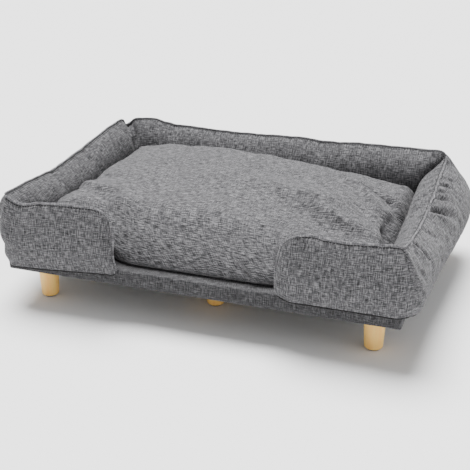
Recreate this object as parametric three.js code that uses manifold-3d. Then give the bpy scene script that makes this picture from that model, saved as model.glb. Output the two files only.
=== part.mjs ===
// Dog sofa bed: a low upholstered wooden frame on six turned legs, with a padded wall on
// three sides, two short padded wings at the front and a loose seat cushion inside.
// Millimetres, +Z up, origin on the floor under the middle of the bed, front towards -Y.
import * as THREE from "three";
import { mergeVertices } from "three/addons/utils/BufferGeometryUtils.js";
import Module from "manifold-3d";

const wasm = await Module();
wasm.setup();

// ---------- driving dimensions ----------
const GAP = 0.3; // between pieces that touch
const FABRIC = 2; // woven cover with its backing

// upholstered base
const BASE_W = 920;
const BASE_D = 670;
const BASE_BOTTOM = 87.1;
const BASE_TOP = 125;
const BASE_COVER = 2.2;
const BASE_ROUND = 6; // corner radius in plan
const FRAME_ROOM = 0.05; // extra space inside the cover
const FOAM_SINK = 0.2; // of the deck foam into the thickness of the cover
const HEM_WIDTH = 30; // cover turned under the frame
const HEM_THICK = 1.2;
const DUST_COVER_THICK = 0.8;
const DUST_COVER_INSET = 8;

// wooden frame inside the base
const RAIL_WIDTH = 24;
const RAIL_HEIGHT = 22;
const DECK_THICK = 9;
const DECK_FOAM_THICK = 2.5;
const CENTRE_RAIL_WIDTH = 80;
const HEM_STEP = 6; // of the centre rail's ends over the hem
const CROSS_RAIL_X = 225;
const CORNER_BLOCK = 84;

// legs, screwed in with hanger bolts
const LEG_X = 394;
const LEG_Y = 270;
const MID_LEG_Y = 187;
const LEG_TOP_R = 23.5;
const LEG_FOOT_R = 20.3;
const LEG_EDGE = 3.6; // rounding of the foot's edge
const LEG_BORE_SPACE = 1; // of the dust cover round a bolt
const GLIDE_THICK = 2.7;
const GLIDE_R = 15.5;
const BOLT_R = 4;
const BOLT_IN_LEG = 35;
const BOLT_POINT = 6;
const BOLT_NECK = 0.8; // waist between the two threads, as a share of the radius
const BOLT_BELOW_NUT = 2; // end of the bolt below the top of its nut
const TNUT_BARREL_R = 5;
const TNUT_BARREL = 14;
const TNUT_FLANGE_R = 11;
const TNUT_FLANGE = 1.3;
const ROUND_SEGMENTS = 20;
const SMALL_SEGMENTS = 12;

// padded wall
const WALL_OUT_X = 498; // widest line of the side walls
const WALL_OUT_Y = 357; // widest line of the back wall and wings
const WALL_TOP = 272;
const WALL_THICK = 95;
const WALL_SEAM = 44; // depth of the top seam inside the widest line
const LEFT_SAG = 14; // dip of a wall's top between its corners
const RIGHT_SAG = 50;
const BACK_SAG = 8;
const WALL_STEPS = 8;
const WING_END = 190; // half the width of the front entry
const WING_THIN = 0.74; // wing thickness as a share of the wall's
const WING_TAPER = 48; // length of a wing's rounded inner end
const WING_TIP_THICK = 0.55; // share of the thickness left at a wing's inner end
const WING_TIP_TALL = 0.86; // share of the height left there
const LIP_BOTTOM = 110; // the outer side hangs over the base's edge down to here
const MITRE_GAP = 0.4;
const FILL_GAP = 1; // between a wall's cover and its filling
const SLOT_FROM_END = 115;
const STUFFING_SLOT = 24; // opening of each cover where it is sewn to the base

// loose cushion
const CUSHION_X = 394;
const CUSHION_BACK = 254;
const CUSHION_FRONT = 280;
const CUSHION_FRONT_BULGE = 20; // between the wings
const CUSHION_SIDE_Z = 168; // height of the widest line
const CUSHION_TOP = 238;
const CUSHION_EDGE_TOP = 196;
const CUSHION_SIDE_BAND = [-16, 6]; // foot and shoulder of the sides about the widest line
const CUSHION_TOP_ROUND = 34; // how far the top's edge lies inside the widest line
const CUSHION_FOOT_ROUND = 14;
const CUSHION_CORNER_ROUND = 10;
const CUSHION_BULGE_HALF = 0.46; // half width of the front bulge, as a share of the half width
const CUSHION_GRID = [16, 12, 3];

// zips
const ZIP_HEIGHT = 5;
const ZIP_CUT = 16; // depth of the cut for a zip behind the widest line
const WALL_ZIP_Z = 120;
const WALL_ZIP_HALF = 400;
const CUSHION_ZIP_HALF = 300;
const CUSHION_ZIP_Z = 163;
const SLIDER = [12, 2, 8.4];
const SLIDER_LIFT = 0.4;
const LUG_HALF_WIDTH = 1.6;
const LUG_EDGE = 0.7; // of a lug below the slider's upper edge
const LUG_REACH = 1.1; // of a lug past its pin
const PULL_LENGTH = 26;
const PULL_THICK = 1.2;
const PULL_HEIGHT = 4.4;
const PULL_EYE_R = 1.5;
const PIN_R = 0.7;
const PIN_CLEARANCE = 0.25;

// ---------- materials ----------
const material = (color, roughness, metalness = 0) =>
  new THREE.MeshStandardMaterial({ color, roughness, metalness });
const linen = material(0x6b6b6d, 0.95);
const pine = material(0xd8b98a, 0.7);
const plywood = material(0xc9a877, 0.75);
const beech = material(0xd2a66c, 0.5);
const steel = material(0xb9bcc0, 0.35, 1);
const felt = material(0x3a332c, 1);
const nonwoven = material(0x2a2a2b, 0.95);
const foam = material(0xe9e4d2, 0.9);
const fibre = material(0xf2f2f0, 1);
const zipTape = material(0x4a4a4c, 0.8);

// ---------- helpers ----------
const bed = new THREE.Group();

function add(name, geometry, mat, position = [0, 0, 0]) {
  const mesh = new THREE.Mesh(geometry, mat);
  mesh.name = name;
  mesh.position.set(...position);
  bed.add(mesh);
  return mesh;
}

// A closed geometry as a manifold solid, turned right side out if a mapping mirrored it.
function solidOf(geometry) {
  const bare = new THREE.BufferGeometry();
  bare.setAttribute("position", geometry.getAttribute("position").clone());
  if (geometry.index) bare.setIndex(geometry.index.clone());
  const merged = mergeVertices(bare, 1e-3);
  const position = merged.attributes.position.array;
  const index = new Uint32Array(merged.index.array);
  const corner = (i) => new THREE.Vector3().fromArray(position, index[i] * 3);
  let volume = 0;
  for (let i = 0; i < index.length; i += 3) {
    volume += corner(i).dot(corner(i + 1).cross(corner(i + 2)));
  }
  if (volume < 0) {
    for (let i = 0; i < index.length; i += 3) {
      [index[i], index[i + 1]] = [index[i + 1], index[i]];
    }
  }
  const mesh = new wasm.Mesh({ numProp: 3, vertProperties: position, triVerts: index });
  return new wasm.Manifold(mesh);
}

function geometryOf(solid) {
  const mesh = solid.getMesh();
  const geometry = new THREE.BufferGeometry();
  const position = new Float32Array(mesh.numVert * 3);
  for (let i = 0; i < mesh.numVert; i++) {
    const start = i * mesh.numProp;
    position.set(mesh.vertProperties.subarray(start, start + 3), i * 3);
  }
  geometry.setAttribute("position", new THREE.BufferAttribute(position, 3));
  geometry.setIndex(new THREE.BufferAttribute(mesh.triVerts, 1));
  geometry.computeVertexNormals();
  return geometry;
}

// A box given by its lowest and highest corners.
function boxBetween(low, high) {
  const size = high.map((v, i) => v - low[i]);
  const middle = high.map((v, i) => (v + low[i]) / 2);
  return new THREE.BoxGeometry(...size).translate(...middle);
}

const solidBox = (low, high) => solidOf(boxBetween(low, high));

// An upright turned shape: the profile is a list of [radius, z] from the bottom to the top.
function turned(profile, segments) {
  const points = profile.map(([r, z]) => new THREE.Vector2(r, z));
  return new THREE.LatheGeometry(points, segments).rotateX(Math.PI / 2);
}

const cylinder = (r, z0, z1, segments = SMALL_SEGMENTS) =>
  turned([[0, z0], [r, z0], [r, z1], [0, z1]], segments);

function mapVertices(geometry, place) {
  const position = geometry.getAttribute("position");
  for (let i = 0; i < position.count; i++) {
    position.setXYZ(i, ...place(position.getX(i), position.getY(i), position.getZ(i)));
  }
  return geometry;
}

// A closed outline of [x, y] points moved inwards by a distance.
function insetOutline(points, distance) {
  const count = points.length;
  const normalAt = (i) => {
    const [ax, ay] = points[i];
    const [bx, by] = points[(i + 1) % count];
    const length = Math.hypot(bx - ax, by - ay);
    return [-(by - ay) / length, (bx - ax) / length];
  };
  return points.map(([x, y], i) => {
    const [ax, ay] = normalAt((i + count - 1) % count);
    const [bx, by] = normalAt(i);
    const scale = distance / (1 + ax * bx + ay * by);
    return [x + (ax + bx) * scale, y + (ay + by) * scale];
  });
}

// ---------- the frame ----------
const foamCeiling = BASE_TOP - BASE_COVER + FOAM_SINK;
const deckBottom = foamCeiling - GAP - DECK_FOAM_THICK - GAP - DECK_THICK;
const deckTop = deckBottom + DECK_THICK;
const foamTop = deckTop + GAP + DECK_FOAM_THICK;
const railTop = deckBottom - GAP;
const railBottom = railTop - RAIL_HEIGHT;
const blockTop = railTop - TNUT_FLANGE - GAP;
const frameX = BASE_W / 2 - BASE_COVER - GAP;
const frameY = BASE_D / 2 - BASE_COVER - GAP;
const innerX = frameX - RAIL_WIDTH - GAP;
const innerY = frameY - RAIL_WIDTH - GAP;

const legPlaces = [
  ["front_left", -LEG_X, -LEG_Y],
  ["front_middle", 0, -MID_LEG_Y],
  ["front_right", LEG_X, -LEG_Y],
  ["rear_left", -LEG_X, LEG_Y],
  ["rear_middle", 0, MID_LEG_Y],
  ["rear_right", LEG_X, LEG_Y],
];

// Bores for the hanger bolts, through everything that the bolts pass.
function drilled(solid, radius) {
  return legPlaces.reduce((left, [, x, y]) => {
    const drill = cylinder(radius, 0, BASE_TOP, ROUND_SEGMENTS).translate(x, y, 0);
    return left.subtract(solidOf(drill));
  }, solid);
}

function makeFrame() {
  const boxes = {
    front_rail: [[-frameX, -frameY, railBottom], [frameX, -frameY + RAIL_WIDTH, railTop]],
    rear_rail: [[-frameX, frameY - RAIL_WIDTH, railBottom], [frameX, frameY, railTop]],
    left_rail: [[-frameX, -innerY, railBottom], [-frameX + RAIL_WIDTH, innerY, railTop]],
    right_rail: [[frameX - RAIL_WIDTH, -innerY, railBottom], [frameX, innerY, railTop]],
  };
  for (const [side, x] of [["left", -CROSS_RAIL_X], ["right", CROSS_RAIL_X]]) {
    const half = RAIL_WIDTH / 2;
    boxes["cross_rail_" + side] = [[x - half, -innerY, railBottom], [x + half, innerY, railTop]];
  }
  for (const [name, [low, high]] of Object.entries(boxes)) {
    add(name, boxBetween(low, high), pine);
  }

  // The centre rail is deeper than the others, and it is stepped over the hem at both ends.
  const half = CENTRE_RAIL_WIDTH / 2;
  const hole = TNUT_BARREL_R + GAP;
  const stepY = innerY - HEM_STEP;
  let centre = solidBox([-half, -innerY, BASE_BOTTOM], [half, innerY, blockTop]);
  centre = centre.subtract(solidBox([-half - 1, -BASE_D / 2, 0], [half + 1, -stepY, railBottom]));
  centre = centre.subtract(solidBox([-half - 1, stepY, 0], [half + 1, BASE_D / 2, railBottom]));
  add("centre_rail", geometryOf(drilled(centre, hole)), pine);

  for (const [sideX, wordX] of [[-1, "left"], [1, "right"]]) {
    for (const [sideY, wordY] of [[-1, "front"], [1, "rear"]]) {
      const farX = sideX * innerX;
      const farY = sideY * innerY;
      const nearX = farX - sideX * CORNER_BLOCK;
      const nearY = farY - sideY * CORNER_BLOCK;
      const low = [Math.min(farX, nearX), Math.min(farY, nearY), railBottom];
      const high = [Math.max(farX, nearX), Math.max(farY, nearY), blockTop];
      const block = drilled(solidBox(low, high), hole);
      add("corner_block_" + wordY + "_" + wordX, geometryOf(block), pine);
    }
  }

  add("deck_panel", boxBetween([-frameX, -frameY, deckBottom], [frameX, frameY, deckTop]), plywood);
  const foamLow = [-frameX, -frameY, deckTop + GAP];
  add("deck_foam", boxBetween(foamLow, [frameX, frameY, foamTop]), foam);
}

// ---------- covers of the base ----------
function makeBaseCovers() {
  const [x, y] = [BASE_W / 2, BASE_D / 2];
  const round = BASE_ROUND;
  const plan = new THREE.Shape();
  plan.moveTo(-x + round, -y);
  plan.lineTo(x - round, -y);
  plan.absarc(x - round, -y + round, round, -Math.PI / 2, 0);
  plan.lineTo(x, y - round);
  plan.absarc(x - round, y - round, round, 0, Math.PI / 2);
  plan.lineTo(-x + round, y);
  plan.absarc(-x + round, y - round, round, Math.PI / 2, Math.PI);
  plan.lineTo(-x, -y + round);
  plan.absarc(-x + round, -y + round, round, Math.PI, 1.5 * Math.PI);
  const height = BASE_TOP - BASE_BOTTOM;
  const options = { depth: height, bevelEnabled: false, curveSegments: 4 };
  const outside = solidOf(new THREE.ExtrudeGeometry(plan, options).translate(0, 0, BASE_BOTTOM));
  const room = BASE_COVER - FRAME_ROOM;
  const inside = solidBox(
    [-x + room, -y + room, BASE_BOTTOM + HEM_THICK],
    [x - room, y - room, foamTop + GAP],
  );
  const opening = solidBox(
    [-x + HEM_WIDTH, -y + HEM_WIDTH, 0],
    [x - HEM_WIDTH, y - HEM_WIDTH, BASE_BOTTOM + HEM_THICK + 1],
  );
  add("base_cover", geometryOf(outside.subtract(inside).subtract(opening)), linen);

  const [dustX, dustY] = [x - DUST_COVER_INSET, y - DUST_COVER_INSET];
  const dustTop = BASE_BOTTOM - GAP;
  const dust = solidBox([-dustX, -dustY, dustTop - DUST_COVER_THICK], [dustX, dustY, dustTop]);
  add("dust_cover", geometryOf(drilled(dust, BOLT_R + LEG_BORE_SPACE)), nonwoven);
}

// ---------- legs with their bolts, nuts and felt glides ----------
function makeLegs() {
  const legBottom = GLIDE_THICK + GAP;
  const legTop = BASE_BOTTOM - GAP - DUST_COVER_THICK - GAP;
  const bore = BOLT_R + GAP;
  const boltBottom = legTop - BOLT_IN_LEG;
  const tnutBottom = blockTop + GAP - TNUT_BARREL;
  const tnutTop = blockTop + GAP + TNUT_FLANGE - 0.1;
  const boltTop = tnutTop - BOLT_BELOW_NUT;
  const neck = BOLT_R * BOLT_NECK;
  const footFlat = LEG_FOOT_R - LEG_EDGE;
  const legProfile = [
    [0, legBottom],
    [footFlat, legBottom],
    [LEG_FOOT_R - LEG_EDGE * 0.3, legBottom + LEG_EDGE * 0.3],
    [LEG_FOOT_R, legBottom + LEG_EDGE],
    [LEG_TOP_R, legTop],
    [bore, legTop],
    [bore, boltBottom - GAP],
    [0, boltBottom - GAP],
  ];
  const boltProfile = [
    [0, boltBottom],
    [BOLT_R * 0.4, boltBottom],
    [BOLT_R, boltBottom + BOLT_POINT],
    [BOLT_R, legTop - 2],
    [neck, legTop - 1],
    [neck, legTop + 3],
    [BOLT_R, legTop + 4],
    [BOLT_R, boltTop - 1],
    [BOLT_R * 0.75, boltTop],
    [0, boltTop],
  ];
  const tnutProfile = [
    [bore, tnutBottom],
    [TNUT_BARREL_R, tnutBottom],
    [TNUT_BARREL_R, tnutTop - TNUT_FLANGE],
    [TNUT_FLANGE_R, tnutTop - TNUT_FLANGE],
    [TNUT_FLANGE_R, tnutTop],
    [bore, tnutTop],
    [bore, tnutBottom],
  ];
  for (const [place, x, y] of legPlaces) {
    add("leg_" + place, turned(legProfile, ROUND_SEGMENTS), beech, [x, y, 0]);
    add("hanger_bolt_" + place, turned(boltProfile, SMALL_SEGMENTS), steel, [x, y, 0]);
    add("tee_nut_" + place, turned(tnutProfile, SMALL_SEGMENTS), steel, [x, y, 0]);
    const glide = cylinder(GLIDE_R, 0, GLIDE_THICK, ROUND_SEGMENTS);
    add("felt_glide_" + place, glide, felt, [x, y, 0]);
  }
}

// ---------- padded wall ----------
// Section of the wall: x is the depth inwards from its widest line, y is the height. It stands
// on the base, and its outer side hangs down over the base's edge as a lip.
const wallBottom = BASE_TOP + GAP;
const sideLip = WALL_OUT_X - BASE_W / 2 - FABRIC;
const frontLip = WALL_OUT_Y - BASE_D / 2 - FABRIC;

const outerSide = new THREE.SplineCurve([
  new THREE.Vector2(WALL_SEAM, WALL_TOP),
  new THREE.Vector2(21, 240),
  new THREE.Vector2(4, 195),
  new THREE.Vector2(0, 160),
  new THREE.Vector2(3, 134),
  new THREE.Vector2(12, LIP_BOTTOM),
]);
const innerSide = new THREE.SplineCurve([
  new THREE.Vector2(WALL_THICK - 6, wallBottom),
  new THREE.Vector2(WALL_THICK, 165),
  new THREE.Vector2(WALL_THICK - 3, 200),
  new THREE.Vector2(WALL_THICK - 20, 243),
  new THREE.Vector2(WALL_SEAM, WALL_TOP),
]);

function wallSection(lipDepth) {
  const lip = [new THREE.Vector2(lipDepth, LIP_BOTTOM), new THREE.Vector2(lipDepth, wallBottom)];
  const points = [...outerSide.getPoints(7), ...lip, ...innerSide.getPoints(6).slice(0, -1)];
  return points.map((p) => [p.x, p.y]);
}

// Extrudes the section over t from 0 to 1 and places each point with place(depth, z, t, inset).
function wallSolid(place, lipDepth, inset) {
  const section = wallSection(lipDepth);
  const outline = inset ? insetOutline(section, inset) : section;
  const shape = new THREE.Shape(outline.map(([x, y]) => new THREE.Vector2(x, y)));
  const options = { depth: 1, steps: WALL_STEPS, bevelEnabled: false };
  const geometry = new THREE.ExtrudeGeometry(shape, options);
  return solidOf(mapVertices(geometry, (depth, z, t) => place(depth, z, t, inset)));
}

// How far the outer side of the wall lies inside its widest line at a height.
function outerDepthAt(height) {
  const section = wallSection(frontLip);
  for (let i = 1; i < section.length; i++) {
    const [depthA, zA] = section[i - 1];
    const [depthB, zB] = section[i];
    if (zA >= height && zB <= height) {
      return THREE.MathUtils.mapLinear(height, zA, zB, depthA, depthB);
    }
  }
  return 0;
}

const heightShare = (z) => Math.max(0, (z - wallBottom) / (WALL_TOP - wallBottom));

// A wall's top dips in the middle, and its foot stays level.
const sagged = (z, along, sag) => z - sag * (1 - along * along) * heightShare(z);

function sideWallPlace(side, sag) {
  return (depth, z, t, inset) => {
    const along = 2 * t - 1;
    const end = WALL_OUT_Y - depth - MITRE_GAP - inset;
    return [side * (WALL_OUT_X - depth), along * end, sagged(z, along, sag)];
  };
}

function backWallPlace(depth, z, t, inset) {
  const along = 2 * t - 1;
  const end = WALL_OUT_X - depth - MITRE_GAP - inset;
  return [along * end, WALL_OUT_Y - depth, sagged(z, along, BACK_SAG)];
}

// A wing is full thickness in its corner, then thinner, and it is rounded at its inner end.
function wingPlace(side) {
  return (depth, z, t, inset) => {
    const bent = Math.pow(t, 1.4);
    const start = WING_END + inset;
    const end = WALL_OUT_X - depth - MITRE_GAP - inset;
    const x = start + (end - start) * bent;
    const fromCorner = Math.min(1, (WALL_OUT_X - x) / WALL_THICK / 1.3);
    const fromEnd = Math.min(1, (x - start) / WING_TAPER);
    const round = Math.sqrt(1 - (1 - fromEnd) * (1 - fromEnd));
    const thin = THREE.MathUtils.lerp(1, WING_THIN, fromCorner * fromCorner);
    const thick = thin * THREE.MathUtils.lerp(WING_TIP_THICK, 1, round);
    const kept = Math.min(depth, frontLip) + Math.max(0, depth - frontLip) * thick;
    const lift = Math.max(0, z - wallBottom) * THREE.MathUtils.lerp(WING_TIP_TALL, 1, round);
    const height = Math.min(z, wallBottom) + lift;
    return [side * x, -(WALL_OUT_Y - kept), height];
  };
}

// Opens the underside of a cover along most of its length.
function openUnderneath(shell, box) {
  const longX = box.max[0] - box.min[0] > box.max[1] - box.min[1];
  const across = longX ? 1 : 0;
  const outerLine = longX ? WALL_OUT_Y : WALL_OUT_X;
  const middle = [(box.max[0] + box.min[0]) / 2, (box.max[1] + box.min[1]) / 2];
  const half = [0, 1].map((i) => (box.max[i] - box.min[i]) / 2 - SLOT_FROM_END);
  middle[across] = Math.sign(middle[across]) * (outerLine - WALL_THICK * 0.56);
  half[across] = STUFFING_SLOT / 2;
  const low = [middle[0] - half[0], middle[1] - half[1], wallBottom - 1];
  const high = [middle[0] + half[0], middle[1] + half[1], wallBottom + FABRIC + 1];
  return shell.subtract(solidBox(low, high));
}

function makeWall() {
  const walls = [
    ["left_wall", sideWallPlace(-1, LEFT_SAG), sideLip],
    ["right_wall", sideWallPlace(1, RIGHT_SAG), sideLip],
    ["back_wall", backWallPlace, frontLip],
    ["left_wing", wingPlace(-1), frontLip],
    ["right_wing", wingPlace(1), frontLip],
  ];
  for (const [name, place, lipDepth] of walls) {
    const outside = wallSolid(place, lipDepth, 0);
    const shell = outside.subtract(wallSolid(place, lipDepth, FABRIC));
    const opened = name === "back_wall"
      ? addWallZip(shell)
      : openUnderneath(shell, outside.boundingBox());
    add(name + "_cover", geometryOf(opened), linen);
    add(name + "_fill", geometryOf(wallSolid(place, lipDepth, FABRIC + FILL_GAP)), fibre);
  }
}

// ---------- zips ----------
// Cuts a slot for a closed zip chain into a cover's rear side, adds the chain and returns the cover.
function zipIntoCover(shell, chainName, half, z, yLow) {
  const slot = (less) =>
    solidBox(
      [-half + less, yLow, z - ZIP_HEIGHT / 2 + less],
      [half - less, WALL_OUT_Y + 10, z + ZIP_HEIGHT / 2 - less],
    );
  add(chainName, geometryOf(shell.intersect(slot(GAP))), zipTape);
  return shell.subtract(slot(0));
}

// The back wall's cover opens low on its rear side; the slider carries a pull on an upright pin.
function addWallZip(shell) {
  const sliderX = WALL_ZIP_HALF - SLIDER[0];
  const [length, depth, height] = SLIDER;
  const face = WALL_OUT_Y - outerDepthAt(WALL_ZIP_Z + height / 2);
  const back = face + SLIDER_LIFT;
  const front = back + depth;
  const pinY = front + PULL_EYE_R + GAP;
  const lugHalf = height / 2 - LUG_EDGE;
  const lugInner = PULL_HEIGHT / 2 + GAP;
  let slider = solidBox(
    [sliderX - length / 2, back, WALL_ZIP_Z - height / 2],
    [sliderX + length / 2, front, WALL_ZIP_Z + height / 2],
  );
  for (const side of [-1, 1]) {
    const ends = [WALL_ZIP_Z + side * lugInner, WALL_ZIP_Z + side * lugHalf];
    const low = [sliderX - LUG_HALF_WIDTH, front - 0.5, Math.min(...ends)];
    const high = [sliderX + LUG_HALF_WIDTH, pinY + LUG_REACH, Math.max(...ends)];
    slider = slider.add(solidBox(low, high));
  }
  const pin = cylinder(PIN_R, WALL_ZIP_Z - lugInner - 0.3, WALL_ZIP_Z + lugInner + 0.3);
  slider = slider.add(solidOf(pin.translate(sliderX, pinY, 0)));
  add("wall_zip_slider", geometryOf(slider), steel);

  const eye = cylinder(PULL_EYE_R, WALL_ZIP_Z - PULL_HEIGHT / 2, WALL_ZIP_Z + PULL_HEIGHT / 2);
  const plate = solidBox(
    [sliderX, pinY - PULL_THICK / 2, WALL_ZIP_Z - PULL_HEIGHT / 2],
    [sliderX + PULL_LENGTH, pinY + PULL_THICK / 2, WALL_ZIP_Z + PULL_HEIGHT / 2],
  );
  const bore = cylinder(PIN_R + PIN_CLEARANCE, WALL_ZIP_Z - PULL_HEIGHT, WALL_ZIP_Z + PULL_HEIGHT);
  const pull = solidOf(eye.translate(sliderX, pinY, 0))
    .add(plate)
    .subtract(solidOf(bore.translate(sliderX, pinY, 0)));
  add("wall_zip_pull", geometryOf(pull), steel);
  return zipIntoCover(shell, "wall_zip_chain", WALL_ZIP_HALF, WALL_ZIP_Z, WALL_OUT_Y - ZIP_CUT);
}

// ---------- loose cushion ----------
// Maps a box from -1 to 1 each way onto a soft pillow with a flat underside.
function cushionSolid(inset) {
  const box = new THREE.BoxGeometry(2, 2, 2, ...CUSHION_GRID);
  const floor = BASE_TOP + GAP + inset;
  const place = (a, b, c) => {
    const [isTop, isFoot] = [c > 0.9, c < -0.9];
    const edgeInset = isTop ? CUSHION_TOP_ROUND : isFoot ? CUSHION_FOOT_ROUND : 0;
    const corner = CUSHION_CORNER_ROUND * Math.pow(a * b, 6);
    const halfX = CUSHION_X - inset - edgeInset - corner;
    const bulge = CUSHION_FRONT_BULGE * Math.max(0, 1 - Math.pow(a / CUSHION_BULGE_HALF, 4));
    const halfY = (b < 0 ? CUSHION_FRONT + bulge : CUSHION_BACK) - inset - edgeInset - corner;
    const crown = (1 - Math.pow(a, 4)) * (1 - Math.pow(b, 4));
    const top = CUSHION_EDGE_TOP + (CUSHION_TOP - CUSHION_EDGE_TOP) * Math.sqrt(crown) - inset;
    const sides = CUSHION_SIDE_Z + CUSHION_SIDE_BAND[c > 0 ? 1 : 0];
    const z = isTop ? top : isFoot ? floor : sides;
    return [a * halfX, b * halfY, z];
  };
  return solidOf(mapVertices(box, place));
}

function makeCushion() {
  const shell = cushionSolid(0).subtract(cushionSolid(FABRIC));
  const zipped = zipIntoCover(
    shell, "cushion_zip_chain", CUSHION_ZIP_HALF, CUSHION_ZIP_Z, CUSHION_BACK - ZIP_CUT / 2,
  );
  add("cushion_cover", geometryOf(zipped), linen);
  add("cushion_fill", geometryOf(cushionSolid(FABRIC + GAP)), fibre);
  const [length, depth, height] = SLIDER;
  const x = CUSHION_ZIP_HALF - length;
  const back = CUSHION_BACK + SLIDER_LIFT;
  const low = [x - length / 2, back, CUSHION_ZIP_Z - height / 2];
  const high = [x + length / 2, back + depth, CUSHION_ZIP_Z + height / 2];
  add("cushion_zip_slider", boxBetween(low, high), steel);
}

makeFrame();
makeBaseCovers();
makeLegs();
makeWall();
makeCushion();

export default bed;
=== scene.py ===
"""Looks of a dog sofa bed: stuffed fabric walls and cushion on an upholstered base with turned legs.

Shapes are worked out in millimetres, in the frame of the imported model. Meshes are made in metres.
"""
import math

import bmesh
import bpy
import numpy as np
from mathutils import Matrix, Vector


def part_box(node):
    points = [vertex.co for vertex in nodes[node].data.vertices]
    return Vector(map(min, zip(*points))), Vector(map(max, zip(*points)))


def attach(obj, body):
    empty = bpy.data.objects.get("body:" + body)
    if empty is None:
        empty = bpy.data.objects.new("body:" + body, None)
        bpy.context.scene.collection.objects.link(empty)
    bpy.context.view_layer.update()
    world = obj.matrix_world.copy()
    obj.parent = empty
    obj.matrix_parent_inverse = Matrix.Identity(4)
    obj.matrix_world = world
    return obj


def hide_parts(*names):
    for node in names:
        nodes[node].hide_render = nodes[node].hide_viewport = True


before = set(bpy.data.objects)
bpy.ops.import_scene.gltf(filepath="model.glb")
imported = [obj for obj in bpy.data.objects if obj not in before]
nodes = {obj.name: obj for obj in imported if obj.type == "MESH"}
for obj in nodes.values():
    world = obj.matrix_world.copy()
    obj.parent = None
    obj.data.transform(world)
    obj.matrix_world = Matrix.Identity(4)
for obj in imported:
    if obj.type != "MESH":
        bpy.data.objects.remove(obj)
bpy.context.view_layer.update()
MM = 0.001


def box_mm(node):
    """Lowest and highest corner of a CAD node in millimetres."""
    low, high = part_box(node)
    return np.array(low) / MM, np.array(high) / MM


# ---------- sizes taken from the frame ----------
base_low, base_high = box_mm("base_cover")
cushion_low, cushion_high = box_mm("cushion_cover")
BASE_X, BASE_Y, BASE_TOP = base_high
OUT_X = -box_mm("left_wall_cover")[0][0]
OUT_Y = box_mm("back_wall_cover")[1][1]
WING_END = box_mm("right_wing_cover")[0][0]
CUSHION_X = (cushion_high[0] - cushion_low[0]) / 2
CUSHION_REAR = cushion_high[1]
LEG_PLACES = [node[4:] for node in sorted(nodes) if node.startswith("leg_")]

# ---------- sizes of the soft parts ----------
GAP = 0.6  # between pieces that press on each other
FLOOR = BASE_TOP + GAP  # what the walls and the cushion stand on
WELT_RADIUS = 2.9
# radius of the dark cords that paint the shade under the walls' lower edges
SHADE_CORD_RADIUS = 1.7
CUSHION_RIM = 8  # height of the cushion's rounded lower rim
CUSHION_PITCH = 7.5  # spacing of the cushion's mesh
PITCH = 8.0  # spacing of the stations along the ring of walls
CLOTH_FRAMES = 22  # length of the cloth simulation

# ---------- camera ----------
AZIMUTH, ELEVATION = math.radians(19.1), math.radians(23.3)
DISTANCE = 2.38
TARGET = Vector((-0.015, -0.005, 0.1))
LENS, SENSOR = 73.0, 36.0


def place_camera():
    data = bpy.data.cameras.new("camera")
    data.lens = LENS
    data.sensor_width = SENSOR
    camera = bpy.data.objects.new("camera", data)
    bpy.context.scene.collection.objects.link(camera)
    level = math.cos(ELEVATION)
    back = Vector((math.sin(AZIMUTH) * level, -math.cos(AZIMUTH) * level, math.sin(ELEVATION)))
    camera.location = TARGET + back * DISTANCE
    camera.rotation_mode = "QUATERNION"
    camera.rotation_quaternion = (-back).to_track_quat("-Z", "Y")
    bpy.context.scene.camera = camera


place_camera()


# ---------- numbers ----------
def through(points, x):
    """A smooth line through a few (place, value) points, flat beyond both ends."""
    xs, ys = np.array(points, float).T
    x = np.clip(np.asarray(x, float), xs[0], xs[-1])
    slopes = np.diff(ys) / np.diff(xs)
    tangents = np.zeros(len(xs))
    same_way = slopes[:-1] * slopes[1:] > 0
    mean = 2 * slopes[:-1] * slopes[1:] / np.where(same_way, slopes[:-1] + slopes[1:], 1)
    tangents[1:-1] = np.where(same_way, mean, 0)
    k = np.clip(np.searchsorted(xs, x) - 1, 0, len(xs) - 2)
    width = xs[k + 1] - xs[k]
    t = (x - xs[k]) / width
    return (
        ys[k] * (1 + 2 * t) * (1 - t) ** 2
        + tangents[k] * width * t * (1 - t) ** 2
        + ys[k + 1] * t * t * (3 - 2 * t)
        + tangents[k + 1] * width * t * t * (t - 1)
    )


def smooth(low, high, x):
    """A soft step from 0 at low to 1 at high."""
    t = np.clip((np.asarray(x, float) - low) / (high - low), 0, 1)
    return t * t * (3 - 2 * t)


def ripple(x, seed, length):
    """A soft random wave from -1 to 1 along a line."""
    random = np.random.default_rng(seed)
    total = np.zeros_like(np.asarray(x, float))
    for octave in range(3):
        phase = random.uniform(0, 2 * math.pi, 2)
        stretch = random.uniform(0.8, 1.25)
        wave = 2 * math.pi * (1.9**octave) * stretch / length
        total += np.sin(x * wave + phase[0] + 0.8 * np.sin(x * wave * 0.37 + phase[1])) / (1.6**octave)
    return total / 2.0


def rounded(t):
    """A quarter of a circle: rises steeply from 0 and levels out at 1."""
    return np.sqrt(1 - (1 - np.clip(t, 0, 1)) ** 2)


def length_along(line):
    """Distance of each point of a line from its start."""
    return np.r_[0, np.cumsum(np.linalg.norm(np.diff(line, axis=0), axis=1))]


def full_turn(sides):
    return np.linspace(0, 2 * math.pi, sides, endpoint=False)


def arc(x, y, radius, start, end, steps):
    """Points of an arc about (x, y); the angles are in degrees."""
    angles = np.radians(np.linspace(start, end, steps + 1))
    return [(x + radius * math.cos(angle), y + radius * math.sin(angle)) for angle in angles]


# ---------- meshes ----------
def read(items, attribute, width=1, kind=np.float32):
    """One attribute of all the items of a mesh, as an array."""
    values = np.zeros(len(items) * width, kind)
    items.foreach_get(attribute, values)
    return values.reshape(-1, width) if width > 1 else values


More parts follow.
